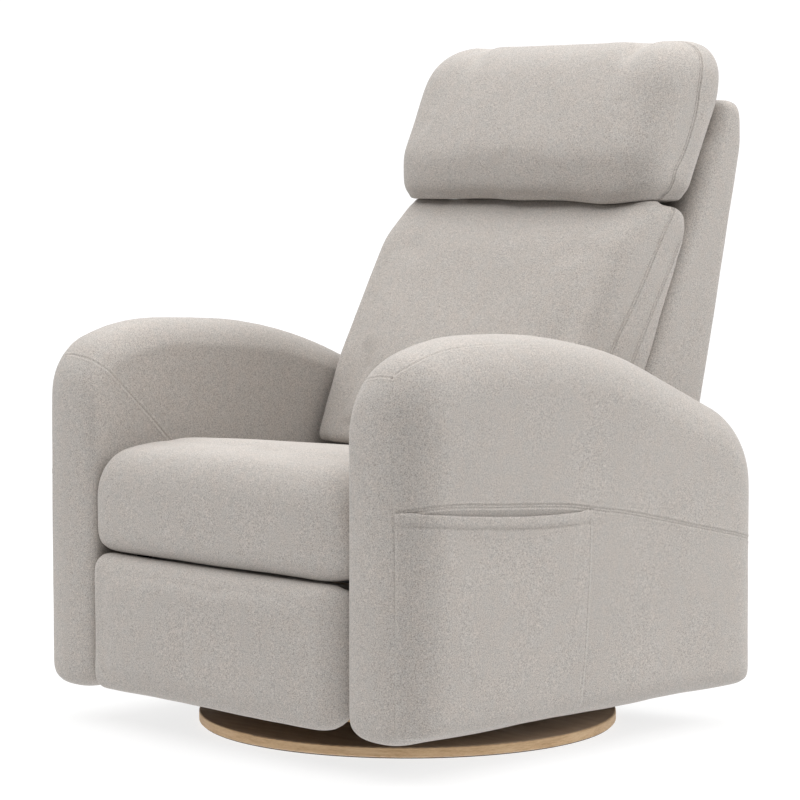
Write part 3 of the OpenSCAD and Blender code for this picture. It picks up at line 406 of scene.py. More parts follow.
def add_thread(obj, rows):
    """Joins stitches to their piece as its second material."""
    count = len(obj.data.polygons)
    bm = bmesh.new()
    bm.from_mesh(obj.data)
    for verts, faces in rows:
        made = [bm.verts.new(tuple(v)) for v in verts]
        for f in faces:
            bm.faces.new([made[i] for i in f])
    bm.to_mesh(obj.data)
    bm.free()
    kind = np.zeros(len(obj.data.polygons), np.int32)
    kind[count:] = 1
    obj.data.polygons.foreach_set("material_index", kind)
    obj.data.update()


def sew(obj, seams):
    """Each seam is its path, its groove's depth and its rows of stitches; two rows make two lines."""
    laid = [(seam_points(obj, path), depth, aside) for path, depth, aside in seams]
    refine(obj, np.vstack([p for p, _, _ in laid]))
    for points, depth, aside in laid:
        if len(aside) == 2:
            groove(obj, points, depth, *DOUBLE_LINE, aside[0])
        else:
            groove(obj, points, depth, *SINGLE_LINE)
    add_thread(obj, [stitch_rows(obj, p, aside) for p, _, aside in laid if aside])


def flip(path):
    return [(-p[0],) + tuple(p[1:]) for p in path]


def bore(obj, y, z, radius, x_lo, x_hi):
    """Cuts a round recess along X."""
    sides = RECESS_SIDES
    ring = [(y + radius * math.cos(2 * math.pi * k / sides), z + radius * math.sin(2 * math.pi * k / sides))
            for k in range(sides)]
    verts = [(x_lo, a, b) for a, b in ring] + [(x_hi, a, b) for a, b in ring]
    faces = [(k, (k + 1) % sides, sides + (k + 1) % sides, sides + k) for k in range(sides)]
    faces += [tuple(range(sides - 1, -1, -1)), tuple(range(sides, 2 * sides))]
    cutter = new_object("cutter", verts, faces)
    mod = obj.modifiers.new("bore", "BOOLEAN")
    mod.operation = "DIFFERENCE"
    mod.solver = "EXACT"
    mod.object = cutter
    bake(obj)
    bpy.data.objects.remove(cutter)


# Cushions
CLOTH = {"quality": 4, "mass": .25, "tension_stiffness": 18, "compression_stiffness": 12,
         "shear_stiffness": 8, "bending_stiffness": 12, "use_pressure": True, "uniform_pressure_force": 4.0}
CLOTH_FRAMES = 20
SHRINK, HOLD_REACH = .003, .006
RISE_SHARE, ALONG_SHARE, INWARD_CAP = .7, .3, .0012
WIDE_LUMPS, FINE_LUMPS, FINE_SHARE = .22, .07, .3
FINE_SEED_STEP = 50


def inflate(obj, hold, cap, grow):
    """Puffs a pad up as cloth under pressure, held near some points; its rise above the mean stays capped."""
    start = coords(obj)
    out = normals(obj)
    put(obj, start - out * SHRINK)
    group = obj.vertex_groups.new(name="held")
    if len(hold):
        tree = near_points(np.vstack(hold))
        held = [v.index for v in obj.data.vertices if tree.find(v.co)[2] < HOLD_REACH + SHRINK]
        group.add(held, 1, "REPLACE")
    mod = obj.modifiers.new("cloth", "CLOTH")
    for key, value in CLOTH.items():
        setattr(mod.settings, key, value)
    mod.settings.effector_weights.gravity = 0
    mod.settings.vertex_group_mass = "held"
    mod.collision_settings.use_collision = False
    mod.point_cache.frame_start, mod.point_cache.frame_end = 1, CLOTH_FRAMES
    for f in range(1, CLOTH_FRAMES + 1):
        scene.frame_set(f)
    bake(obj)
    scene.frame_set(1)
    obj.vertex_groups.clear()
    moved = coords(obj) - start
    rise = np.sum(moved * out, axis=1)[:, None]
    along = moved - out * rise
    rise = RISE_SHARE * (rise - np.mean(rise))
    rise = np.where(rise > 0, cap * np.tanh(rise / cap), -INWARD_CAP * np.tanh(-rise / INWARD_CAP))
    start = start + out * rise + along * ALONG_SHARE
    put(obj, start + out * grow)


def soft(name, form, seed, voxel=.008, lump=.0015, puff=None, hold=(), grow=.002, limit=None):
    """A padded piece from its form: blown up if it has a puff, uneven by the lump, and kept in its limit."""
    verts, faces = form
    obj = new_object(name, verts, faces)
    remesh(obj, voxel)
    relax(obj, 3)
    if puff:
        inflate(obj, [seam_points(obj, path, COARSE_STEP) for path in hold], puff, grow)
    else:
        put(obj, coords(obj) + normals(obj) * grow)
    co = coords(obj)
    wide, fine = lumps(co, WIDE_LUMPS, seed), lumps(co, FINE_LUMPS, seed + FINE_SEED_STEP)
    co += normals(obj) * (lump * wide + FINE_SHARE * lump * fine)[:, None]
    if limit:
        co = limit(co)
    put(obj, co)
    subdivide(obj)
    return obj


# Materials
# How fine each noise is, in features per metre
CLOTH_GRAIN, CLOTH_FIBRE, CLOTH_HUE, CLOTH_PATCH, CLOTH_PILE, TWIST = 660, 300, 52, 9, 900, 1400
METAL_WEAR, METAL_ROUGH, METAL_FINE = 38, 55, 900
WOOD_RINGS, WOOD_FINE, EDGE_GRAIN, SHADED_TOP_GRAIN, DISC_FINE = 9, 60, 16, 14, 120
PLAIN_MOTTLE, FLOOR_MOTTLE = 30, 3
CLOTH_COLOUR = (.454, .419, .387, 1)
# A face of the disc belongs to its top, whose tone is painted shade, where its normal's vertical share is
# over this
SHADED_TOP_SHARE = .75


def srgb(r, g, b):
    return tuple(((c / 255 + .055) / 1.055) ** 2.4 if c > 10 else c / 255 / 12.92 for c in (r, g, b)) + (1,)


class Nodes:
    """A small helper that adds nodes to one material and links them."""

    def __init__(self, name):
        self.mat = bpy.data.materials.new(name)
        self.mat.use_nodes = True
        self.tree = self.mat.node_tree
        self.shader = self.tree.nodes["Principled BSDF"]
        self.place = self.add("ShaderNodeTexCoord").outputs["Object"]

    def add(self, kind, **settings):
        node = self.tree.nodes.new(kind)
        for key, value in settings.items():
            setattr(node, key, value)
        return node

    def link(self, a, b):
        self.tree.links.new(a, b)

    def noise(self, scale, detail=2, rough=.5, squeeze=None):
        node = self.add("ShaderNodeTexNoise")
        node.inputs["Scale"].default_value = scale
        node.inputs["Detail"].default_value = detail
        node.inputs["Roughness"].default_value = rough
        source = self.place
        if squeeze:
            mapping = self.add("ShaderNodeMapping")
            mapping.inputs["Scale"].default_value = squeeze
            self.link(source, mapping.inputs["Vector"])
            source = mapping.outputs["Vector"]
        self.link(source, node.inputs["Vector"])
        return node.outputs["Fac"]

    def ramp(self, source, *stops):
        node = self.add("ShaderNodeValToRGB")
        ramp = node.color_ramp
        ramp.elements[0].position, ramp.elements[0].color = stops[0]
        ramp.elements[1].position, ramp.elements[1].color = stops[-1]
        for place, colour in stops[1:-1]:
            ramp.elements.new(place).color = colour
        self.link(source, node.inputs["Fac"])
        return node.outputs["Color"]

    def mix(self, a, b, share, blend="MIX"):
        """A mix of two colours; a colour mix has its share at 0, the colours at 6 and 7, the result at 2."""
        node = self.add("ShaderNodeMix", data_type="RGBA", blend_type=blend)
        for value, key in ((share, 0), (a, 6), (b, 7)):
            if hasattr(value, "links"):
                self.link(value, node.inputs[key])
            else:
                node.inputs[key].default_value = value
        return node.outputs[2]

    def math(self, kind, a, b=0.0, c=0.0):
        node = self.add("ShaderNodeMath", operation=kind)
        for i, value in enumerate((a, b, c)):
            if hasattr(value, "links"):
                self.link(value, node.inputs[i])
            else:
                node.inputs[i].default_value = value
        return node.outputs[0]

    def bump(self, height, distance, strength):
        node = self.add("ShaderNodeBump")
        node.inputs["Distance"].default_value = distance
        node.inputs["Strength"].default_value = strength
        self.link(height, node.inputs["Height"])
        return node.outputs["Normal"]

    def set(self, **values):
        for key, value in values.items():
            socket = self.shader.inputs[key.replace("_", " ")]
            if hasattr(value, "links"):
                self.link(value, socket)
            else:
                socket.default_value = value
        return self.mat


def shade(colour, tone):
    return tuple(c * tone for c in colour[:3]) + (1,)


def fabric(name):
    """Heathered woven cloth: fine light and dark fibres, a faint warm and cool mottling and a short pile."""
    m = Nodes(name)
    grain = m.noise(CLOTH_GRAIN, detail=3, rough=.6)
    fibre = m.noise(CLOTH_FIBRE, detail=3, rough=.6)
    fleck = m.ramp(grain, (.3, shade(CLOTH_COLOUR, .57)), (.5, CLOTH_COLOUR), (.7, shade(CLOTH_COLOUR, 1.35)))
    warm = m.ramp(fibre, (.36, (.93, .936, .944, 1)), (.64, (1.05, 1.042, 1.03, 1)))
    colour = m.mix(fleck, warm, 1.0, "MULTIPLY")
    hue = m.noise(CLOTH_HUE, detail=3, rough=.6)
    hue = m.ramp(hue, (.36, (.988, 1.0, 1.01, 1)), (.64, (1.01, .998, .992, 1)))
    colour = m.mix(colour, hue, 1.0, "MULTIPLY")
    patch = m.noise(CLOTH_PATCH, detail=3, rough=.55)
    patch = m.ramp(patch, (.3, (.965, .965, .965, 1)), (.7, (1, 1, 1, 1)))
    colour = m.mix(colour, patch, 1.0, "MULTIPLY")
    pile = m.noise(CLOTH_PILE, rough=.6)
    pile = m.math("MULTIPLY_ADD", pile, .6, m.math("MULTIPLY", fibre, .4))
    normal = m.bump(pile, distance=.0009, strength=.35)
    return m.set(Base_Color=colour, Roughness=.93, Sheen_Weight=.16, Sheen_Roughness=.5, Normal=normal)


def thread(name):
    m = Nodes(name)
    twist = m.noise(TWIST, rough=.6)
    colour = m.ramp(twist, (.35, (.25, .23, .212, 1)), (.65, (.4, .372, .35, 1)))
    normal = m.bump(twist, distance=.0002, strength=.4)
    return m.set(Base_Color=colour, Roughness=.7, Sheen_Weight=.1, Normal=normal)


def metal(name, colour, rough, metallic=1.0, grain=.08, coat=0.0):
    m = Nodes(name)
    wear = m.noise(METAL_WEAR, detail=4, rough=.6)
    worn = m.ramp(wear, (.35, shade(colour, .78)), (.65, colour))
    fine = m.noise(METAL_FINE)
    roughness = m.math("MULTIPLY_ADD", m.noise(METAL_ROUGH, detail=3, rough=.6), grain, rough - grain / 2)
    return m.set(Base_Color=worn, Metallic=metallic, Roughness=roughness, Coat_Weight=coat,
                 Normal=m.bump(fine, distance=.0004, strength=.25))


def wood(name, light, dark, stretch):
    m = Nodes(name)
    rings = m.noise(WOOD_RINGS, detail=4, rough=.55, squeeze=stretch)
    fine = m.noise(WOOD_FINE, detail=5, rough=.7, squeeze=stretch)
    grain = m.math("MULTIPLY_ADD", fine, .45, m.math("MULTIPLY", rings, .6))
    colour = m.ramp(grain, (.36, dark), (.52, light), (.66, shade(light, 1.12)))
    return m.set(Base_Color=colour, Roughness=.5, Normal=m.bump(fine, distance=.0005, strength=.3))


def disc_material():
    """Light wood on the disc's edge and a browner top, told apart by the way the face points; the top's tone
    is painted shade, the edge's wood as it looks in the chair's shade.
    """
    m = Nodes("disc_wood_with_painted_shade_top")
    edge_grain = m.noise(EDGE_GRAIN, detail=5, rough=.65, squeeze=(1, 1, 9))
    fine = m.noise(DISC_FINE, detail=4, rough=.7, squeeze=(1, 1, 6))
    both = m.math("MULTIPLY_ADD", fine, .4, m.math("MULTIPLY", edge_grain, .6))
    edge = m.ramp(both, (.34, srgb(196, 158, 114)), (.5, srgb(226, 191, 148)), (.66, srgb(240, 210, 170)))
    # The top's colours are painted shade: the same wood as the edge, toned as it looks in the chair's shade
    shaded_top_grain = m.noise(SHADED_TOP_GRAIN, detail=5, rough=.65, squeeze=(1, 7, 1))
    top = m.ramp(shaded_top_grain, (.35, srgb(206, 178, 152)), (.65, srgb(224, 199, 174)))
    split = m.add("ShaderNodeSeparateXYZ")
    geometry = m.add("ShaderNodeNewGeometry")
    m.link(geometry.outputs["Normal"], split.inputs["Vector"])
    up = m.math("GREATER_THAN", m.math("ABSOLUTE", split.outputs["Z"]), SHADED_TOP_SHARE)
    return m.set(Base_Color=m.mix(edge, top, up), Roughness=.55,
                 Normal=m.bump(both, distance=.0004, strength=.3))


def plain(name, colour, rough, bump, scale):
    m = Nodes(name)
    tone = m.ramp(m.noise(PLAIN_MOTTLE, detail=3, rough=.6), (.3, shade(colour, .88)), (.7, colour))
    fine = m.noise(scale, rough=.6)
    return m.set(Base_Color=tone, Roughness=rough, Normal=m.bump(fine, distance=bump, strength=.4))


finish = {
    "upholstery": fabric("heathered_fabric"),
    "felt": plain("felt_grey", srgb(92, 84, 76), rough=.95, bump=.0008, scale=900),
    "disc_wood": disc_material(),
    "frame_wood": wood("pine_frame", light=srgb(206, 172, 124), dark=srgb(168, 128, 82), stretch=(2, 2, 14)),
    "black_steel": metal("black_painted_steel", srgb(46, 46, 48), rough=.42, metallic=.2, grain=.12,
                         coat=.15),
    "zinc_steel": metal("zinc_plated_steel", srgb(176, 178, 180), rough=.34),
    "link_steel": metal("painted_link_steel", srgb(62, 62, 64), rough=.4, metallic=.4, grain=.1),
    "spring_steel": metal("oiled_spring_steel", srgb(96, 96, 98), rough=.38),
    "polished_steel": metal("polished_steel", srgb(190, 190, 192), rough=.2, grain=.05),
    "brass": metal("brass_bush", srgb(190, 158, 92), rough=.3),
    "thread": thread("sewing_thread"),
    "black_plastic": plain("moulded_black_plastic", srgb(34, 34, 36), rough=.5, bump=.0003, scale=500),
}
for part in frame["record"]["subparts"]:
    mesh = frame["nodes"][part["node"]].data
    mesh.materials.clear()
    mesh.materials.append(finish[part["material_slot"]])


def dress(obj, body, node):
    """Upholsters a piece, with thread as its second material, and puts it in a solid's place on a body."""
    obj.data.materials.clear()
    obj.data.materials.append(finish["upholstery"])
    obj.data.materials.append(finish["thread"])
    smooth_shade(obj)
    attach(obj, body)
    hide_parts(node)


# Seam paths on the occupant's left, with a strength that may follow a place; flip gives the other side's.
# Those of the arm, the back and the pillow were read off the photograph where it shows them.
ARM_CORNER = (.3548, -.3791, .5601)
ARM_MITRE = [ARM_CORNER, (.3314, -.3809, .5611), (.3216, -.3805, .5594), (.303, -.3761, .5555),
             (.2884, -.3686, .5474), (.2789, -.357, .5358), (.2765, -.3397, .5208), (.2766, -.3203, .5024),
             (.2766, -.2811, .4664), (.2772, -.2411, .4275), (.2772, -.2, .39)]
ARM_UPRIGHT = [ARM_CORNER + (.5,), (.3682, -.3923, .5073, .35), (.3682, -.3923, .4395, .5),
               (.3693, -.3915, .3824), (.3719, -.3903, .3171), (.3734, -.3899, .2353), (.3747, -.3892, .1668),
               (.3734, -.3898, .1049), (.3719, -.3884, .07)]
ARM_CROWN = [ARM_CORNER, (.359, -.37, .5685), (.3643, -.3599, .5745), (.3689, -.3415, .5829),
             (.3711, -.3051, .5928, .8), (.3735, -.2841, .5961, .7), (.3756, -.2548, .5985, .5),
             (.377, -.1, .598, .25), (.377, .02, .588, .25), (.376, .15, .555, .25), (.376, .25, .513, .3),
             (.374, .32, .47, .6), (.372, .352, .4), (.372, .355, .2), (.372, .352, .07)]
ARM_BELT = [(.3745, -.389, .3813), (.4046, -.3502, .3869), (.409, -.3043, .3862), (.4091, -.2252, .3798),
            (.4092, -.1439, .3743), (.4088, -.0851, .369), (.4083, -.0378, .3616), (.409, .0132, .3538),
            (.4096, .0698, .3433), (.4095, .183, .319), (.4011, .3229, .2879), (.373, .352, .276)]
BACK_FRONT_SEAM = [(.256, .325, .79), (.2595, .3, .765), (.2595, .279, .736), (.26, .251, .691),
                   (.2595, .222, .6462), (.259, .188, .599), (.2595, .161, .5579), (.259, .124, .5),
                   (.259, .089, .44)]
BACK_SIDE_SEAM = [(.2646, .345, .765), (.2646, .3182, .72), (.2648, .2855, .6672), (.2646, .2535, .6147),
                  (.2651, .2164, .5554), (.265, .175, .48), (.265, .14, .42)]
PILLOW_SEAM = [(.225, .285, .794, .4), (.2477, .2994, .8074), (.2689, .3024, .8395), (.2711, .3207, .8655),
               (.2711, .337, .8961), (.2714, .3506, .9314), (.2716, .357, .9651), (.2683, .3654, .9959),
               (.2591, .3739, 1.0147), (.2435, .378, 1.0291), (.2276, .374, 1.0354, .7),
               (.205, .362, 1.038, .4)]
SHELL_SEAM = [(.215, .479, .935, .3), (.215, .481, .88), (.215, .45, .76), (.215, .42, .62),
              (.215, .385, .47), (.215, .35, .345, .3)]
# Each side of a seam's middle: where its rows of stitches run
PAD_ROWS, SIDE_ROWS, BELT_ROWS = (.0026, -.0026), (.0024, -.0024), (.002, -.002)

# Where the pieces have to stop, so that they keep clear of their neighbours
CUP_Y, CUP_Z, CUP_FLANGE_R, CUP_BLEND = -.21, .46, .045, .03
ARM_INNER_X, ARM_CUP_X, ARM_BULGE = .2768, .4086, .006
SEAT_X, SEAT_FRONT_Y = .2762, -.4085
ROLL_Y, ROLL_LOW, REST_Y, REST_LOW = -.33, .2678, -.27, .3312
UNDER_BACK_Y, UNDER_BACK_TOP = .02, .4088
BACK_X, BACK_FOOT_Y, BACK_LOW, BACK_TOP = .2745, .2, .4096, .7957
BACK_EASE_Z, PILLOW_EASE_Z, EASE_HEIGHT = .785, .8, .03
BACK_PRESS, PILLOW_PRESS = .0045, .0055
PILLOW_X_LO, PILLOW_X_HI, PILLOW_LOW, PILLOW_TOP = -.2725, .2755, .7962, 1.0412
PILLOW_REAR, PILLOW_REAR_WAY, PILLOW_REAR_GAP = (.36, .794), (.9035, -.4286), .0004
SHELL_FRONT, SHELL_FRONT_WAY, SHELL_REACH = (.3546, .762), (-.911, .412), .006
UPRIGHT_X, UPRIGHT_Z, UPRIGHT_HALF_X, UPRIGHT_HALF_Z, UPRIGHT_RISE = .2315, .862, .027, .024, .0042
FOOT_X, FOOT_REAR_Y, FOOT_LOW, FOOT_TOP = .2755, -.3592, .0565, .2674
# The wavy line between back and pillow: its wave, and the place and depth of two dips in it
CREASE_WAVE, CREASE_TURNS, CREASE_START = .0012, 19, .6
CREASE_DIPS, CREASE_DIP_HALF = ((.185, .005), (.005, .0025)), .05
DENT_RISE_SHARE = .15


def arm_limit(co):
    """The inner face keeps off the seat, and the outer one dips to the release cup's flange."""
    x = np.sign(co[:, 0]) * np.maximum(np.abs(co[:, 0]), ARM_INNER_X)
    off = np.clip((np.hypot(co[:, 1] - CUP_Y, co[:, 2] - CUP_Z) - CUP_FLANGE_R) / CUP_BLEND, 0, 1)
    x = np.maximum(x, -ARM_CUP_X - ARM_BULGE * off * off * (3 - 2 * off))
    return np.column_stack([x, co[:, 1:]])


def seat_limit(co):
    """The seat stays above what it rests on, behind its rolled front, and below the back cushion."""
    x, y, z = np.clip(co[:, 0], -SEAT_X, SEAT_X), co[:, 1], co[:, 2]
    z = np.where(y < ROLL_Y, np.maximum(z, ROLL_LOW), np.where(y < REST_Y, z, np.maximum(z, REST_LOW)))
    z = np.where(y > UNDER_BACK_Y, np.minimum(z, UNDER_BACK_TOP), z)
    return np.column_stack([x, np.maximum(y, SEAT_FRONT_Y), z])


def crease(x):
    """How far the wavy line between back cushion and headrest lies above or below its middle height."""
    line = CREASE_WAVE * np.cos(CREASE_TURNS * x + CREASE_START)
    for place, depth in CREASE_DIPS:
        line = line - depth * np.exp(-((x - place) / CREASE_DIP_HALF) ** 2)
    return line


def back_limit(co):
    """The back stands on the seat, and its top follows the crease."""
    x, y, z = co.T
    z = np.where(y < BACK_FOOT_Y, np.maximum(z, BACK_LOW), z)
    z = z + crease(x) * np.exp(-np.minimum(0, (z - BACK_EASE_Z) / EASE_HEIGHT) ** 2)
    top = BACK_TOP + crease(x)
    z = np.where(z > top - BACK_PRESS, top, z)
    return np.column_stack([np.clip(x, -BACK_X, BACK_X), y, z])


def pillow_limit(co):
    """The pillow's underside follows the crease, and its rear keeps to the plane of the solid's."""
    x, y, z = np.clip(co[:, 0], PILLOW_X_LO, PILLOW_X_HI), co[:, 1], np.minimum(co[:, 2], PILLOW_TOP)
    z += crease(x) * np.exp(-np.maximum(0, (z - PILLOW_EASE_Z) / EASE_HEIGHT) ** 2)
    low = PILLOW_LOW + crease(x)
    z = np.where(z < low + PILLOW_PRESS, low, z)
    (rear_y, rear_z), (way_y, way_z) = PILLOW_REAR, PILLOW_REAR_WAY
    behind = np.maximum(0, (y - rear_y) * way_y + (z - rear_z) * way_z + PILLOW_REAR_GAP)
    return np.column_stack([x, y - way_y * behind, z - way_z * behind])


def shell_limit(co):
    """The cover rises a little over the tops of the back frame's uprights."""
    (front_y, front_z), (way_y, way_z) = SHELL_FRONT, SHELL_FRONT_WAY
    front = (co[:, 1] - front_y) * way_y + (co[:, 2] - front_z) * way_z
    over = np.exp(-((co[:, 2] - UPRIGHT_Z) / UPRIGHT_HALF_Z) ** 4
                  - ((np.abs(co[:, 0]) - UPRIGHT_X) / UPRIGHT_HALF_X) ** 4)
    rise = UPRIGHT_RISE * over * (np.abs(front) < SHELL_REACH)
    return co + rise[:, None] * np.array([0, way_y, way_z])


def foot_limit(co):
    """The pad stays in front of its board, and clear of the disc, the arms and the seat."""
    x, y, z = co.T
    return np.column_stack([np.clip(x, -FOOT_X, FOOT_X), np.minimum(y, FOOT_REAR_Y),
                            np.clip(z, FOOT_LOW, FOOT_TOP)])


def dent(obj, path, depth, width):
    """Draws the cloth in softly along a path."""
    groove(obj, seam_points(obj, path, COARSE_STEP), depth, width, puff=depth * DENT_RISE_SHARE)


def both_sides(path, depth, rows):
    return [(path, depth, rows), (flip(path), depth, rows)]


# Soft pieces
arm_seams = [(ARM_MITRE, .0007, ()), (ARM_UPRIGHT, .0006, ()), (ARM_CROWN, .0006, ()),
             (ARM_BELT, .0009, BELT_ROWS)]
arms = {}
for side, seed in (("left", 3), ("right", 4)):
    form = arm_form() if side == "left" else mirrored(*arm_form())
    arms[side] = arm = soft("arm_pad_" + side, form, seed, lump=.001, grow=.0032, limit=arm_limit)
    if side == "right":
        bore(arm, CUP_Y, CUP_Z, radius=.0335, x_lo=-.43, x_hi=-.3838)
    sew(arm, arm_seams if side == "left" else [(flip(p), d, tuple(-a for a in r)) for p, d, r in arm_seams])
    dress(arm, "chassis", "arm_cover_" + side)

seat = soft("seat_pad", seat_form(), seed=5, voxel=.007, puff=.005, grow=.0015, limit=seat_limit)
dress(seat, "chassis", "seat_cushion")

back_seams = both_sides(BACK_FRONT_SEAM, .0015, PAD_ROWS) + both_sides(BACK_SIDE_SEAM, .0012, SIDE_ROWS)
back = soft("back_pad", back_form(), seed=6, voxel=.007, puff=.008, hold=[seam[0] for seam in back_seams],
            grow=.003, limit=back_limit)
sew(back, back_seams)
dress(back, "backrest", "back_cushion")

pillow_seams = both_sides(PILLOW_SEAM, .0015, PAD_ROWS)
pillow = soft("headrest_pad", pillow_form(), seed=7, voxel=.006, puff=.008,
              hold=[seam[0] for seam in pillow_seams], grow=.004, limit=pillow_limit)
dent(pillow, [(.165, .4, 1.03), (.168, .36, 1.04), (.173, .31, 1.03), (.18, .285, 1.0, .2)],
     depth=.007, width=.015)
dent(pillow, [(-.172, .4, 1.03), (-.167, .36, 1.04), (-.155, .31, 1.03), (-.145, .285, 1.0, .2)],
     depth=.005, width=.014)
sew(pillow, pillow_seams)
dress(pillow, "headrest", "headrest_pillow")

foot = soft("footrest_cushion", foot_form(), seed=8, voxel=.006, puff=.005, grow=.003, limit=foot_limit)
dress(foot, "footrest", "footrest_pad")

shell = soft("back_cover", shell_form(), seed=9, voxel=.007, lump=.0008, limit=shell_limit)
sew(shell, [(SHELL_SEAM, .0012, (.003,)), (flip(SHELL_SEAM), .0012, (-.003,))])
dress(shell, "backrest", "back_shell")

panel = soft("rear_cover", panel_form(), seed=10, voxel=.004, lump=.0004)
dress(panel, "chassis", "rear_panel")


# The side pocket: a cloth panel laid over the arm, open in a flat lens along its top.
# Its top is the height over the distance from its front edge, and its rear edge is y over the height.
POCKET_TOP = [(0, .381), (.035, .38), (.0645, .3773), (.1014, .3731), (.1606, .3676), (.2212, .363),
              (.2827, .3602), (.3249, .3595), (.3679, .3605)]
POCKET_REAR = [(.07, -.0545), (.0991, -.0571), (.1444, -.0493), (.216, -.0437), (.2876, -.039),
               (.336, -.0379), (.3605, -.0378)]
POCKET_LOW = .07
POCKET_ALONG, POCKET_DOWN = 118, 96
# The arm's round front corner, which the panel goes round from this angle on
ROUND_X, ROUND_Y, ROUND_R, ROUND_FROM = .339, -.33, .07, math.radians(28.5)
FAR_OUT, NEAR_OUT = .2, .07
MOUTH_FROM, MOUTH_LENGTH, MOUTH_POWER = .04, .31, .8
MOUTH_OPEN, MOUTH_FADE, MOUTH_FADE_POWER = .0052, .022, 1.4
BELLY, BELLY_STRETCH, BELLY_POWER, BELLY_END = .0022, 1.1, .6, .9
LIFT_BASE, LIFT_FRONT, LIFT_FRONT_SHARE, LIFT_EDGE = .0006, .001, .06, .0018
EDGE_FRONT_SHARE, EDGE_REAR_SHARE, EDGE_LOW_SHARE = .02, .014, .03
HEM_DROP, HEM_LINE, HEM_LINE_HALF = .0175, .0022, .0022
HEM_ROLL_DROP, HEM_ROLL, HEM_ROLL_HALF = .011, .0012, .005
REAR_SPAN, REAR_DROP, REAR_LINE, REAR_LINE_HALF = .4, .007, .0008, .0018
CLOTH_T, LEAST_LIFT = .0021, .0002
REAR_ROW_IN = .0025
ROW_EVERY = 6


def pocket_grid(nu, nv):
    """The panel's places: an origin inside the arm, the way out, shares along and down, drop and distance."""
    turn = math.pi / 2 - ROUND_FROM
    rows = []
    for j in range(nv + 1):
        for i in range(nu + 1):
            u = i / nu
            top = POCKET_TOP[-1][1]
            z = top
            # The top's height and the rear edge's place depend on each other, and three rounds settle them
            for _ in range(3):
                rear_y = np.interp(z, [p[0] for p in POCKET_REAR], [p[1] for p in POCKET_REAR])
                total = ROUND_R * turn + rear_y - ROUND_Y
                s = u * total
                top = np.interp(s, [p[0] for p in POCKET_TOP], [p[1] for p in POCKET_TOP])
                z = top + (POCKET_LOW - top) * j / nv
            if s < ROUND_R * turn:
                a = ROUND_FROM + s / ROUND_R
                rows.append((ROUND_X, ROUND_Y, z, math.sin(a), -math.cos(a), u, j / nv, top - z, s))
            else:
                rows.append((ROUND_X, ROUND_Y + s - ROUND_R * turn, z, 1, 0, u, j / nv, top - z, s))
    return rows


def make_pocket(arm):
    """The pocket as a closed cloth over an arm, and the places of its top and of its rear edge."""
    nu, nv = POCKET_ALONG, POCKET_DOWN
    tree = skin(arm)
    outer, inner = [], []
    for x, y, z, ax, ay, u, v, drop, s in pocket_grid(nu, nv):
        way = Vector((ax, ay, 0))
        at, normal, _, _ = tree.ray_cast(Vector((x, y, z)) + way * FAR_OUT, -way)
        if at is None:
            at, normal, _, _ = tree.find_nearest(Vector((x, y, z)) + way * NEAR_OUT)
        edge = min(u / EDGE_FRONT_SHARE, (1 - u) / EDGE_REAR_SHARE, (1 - v) / EDGE_LOW_SHARE, 1)
        place = min(1, max(0, (s - MOUTH_FROM) / MOUTH_LENGTH))
        lens = max(0, math.sin(math.pi * place)) ** MOUTH_POWER
        mouth = MOUTH_OPEN * lens * math.exp(-(drop / MOUTH_FADE) ** MOUTH_FADE_POWER)
        belly = 0
        if v < BELLY_END:
            belly = BELLY * lens * math.sin(math.pi * min(1, v * BELLY_STRETCH)) ** BELLY_POWER
        lift = LIFT_BASE + LIFT_FRONT * min(1, u / LIFT_FRONT_SHARE)
        lift += LIFT_EDGE * math.sin(edge * math.pi / 2)
        lift += mouth
        lift += belly
        hem = HEM_LINE * math.exp(-((drop - HEM_DROP) / HEM_LINE_HALF) ** 2)
        hem -= HEM_ROLL * math.exp(-((drop - HEM_ROLL_DROP) / HEM_ROLL_HALF) ** 2)
        hem += REAR_LINE * math.exp(-(((1 - u) * REAR_SPAN - REAR_DROP) / REAR_LINE_HALF) ** 2)
        outer.append(at + normal * (lift - hem))
        inner.append(at + normal * max(LEAST_LIFT, lift - CLOTH_T))
    n = nu + 1
    count = len(outer)
    faces = []
    for j in range(nv):
        for i in range(nu):
            a, b, c, d = j * n + i, j * n + i + 1, (j + 1) * n + i + 1, (j + 1) * n + i
            faces.append((a, d, c, b))
            faces.append((a + count, b + count, c + count, d + count))
    rim = list(range(n)) + [j * n + nu for j in range(1, nv + 1)]
    rim += [nv * n + i for i in range(nu - 1, -1, -1)] + [j * n for j in range(nv - 1, 0, -1)]
    for a, b in zip(rim, rim[1:] + rim[:1]):
        faces.append((a, b, b + count, a + count))
    obj = new_object("pocket_cloth", outer + inner, faces)
    top = [tuple(outer[i]) for i in range(0, n, ROW_EVERY)]
    rear = [tuple(outer[j * n + nu - 1]) for j in range(2, nv + 1, ROW_EVERY)]
    return obj, top, rear


pocket, pocket_top, pocket_rear = make_pocket(arms["left"])
hem_row = [(x, y, z - HEM_DROP, 1) for x, y, z in pocket_top[1:-1]]
rear_row = [(x, y - REAR_ROW_IN, z, 1) for x, y, z in pocket_rear]
add_thread(pocket, [stitch_rows(pocket, np.array(row)) for row in (hem_row, rear_row)])
dress(pocket, "chassis", "side_pocket")

# The four rocker springs at rest: their foot on the swivel plate, their head up at the chassis
SPRING_AT, SPRING_R, WIRE_R, SPRING_TURNS = .105, .017, .0022, 5
SPRING_LOW, SPRING_HIGH = .0415, .0875
FLAT_SHARE, RISING_SHARE = .08, .84
COIL_STEPS, WIRE_SIDES = 110, 8


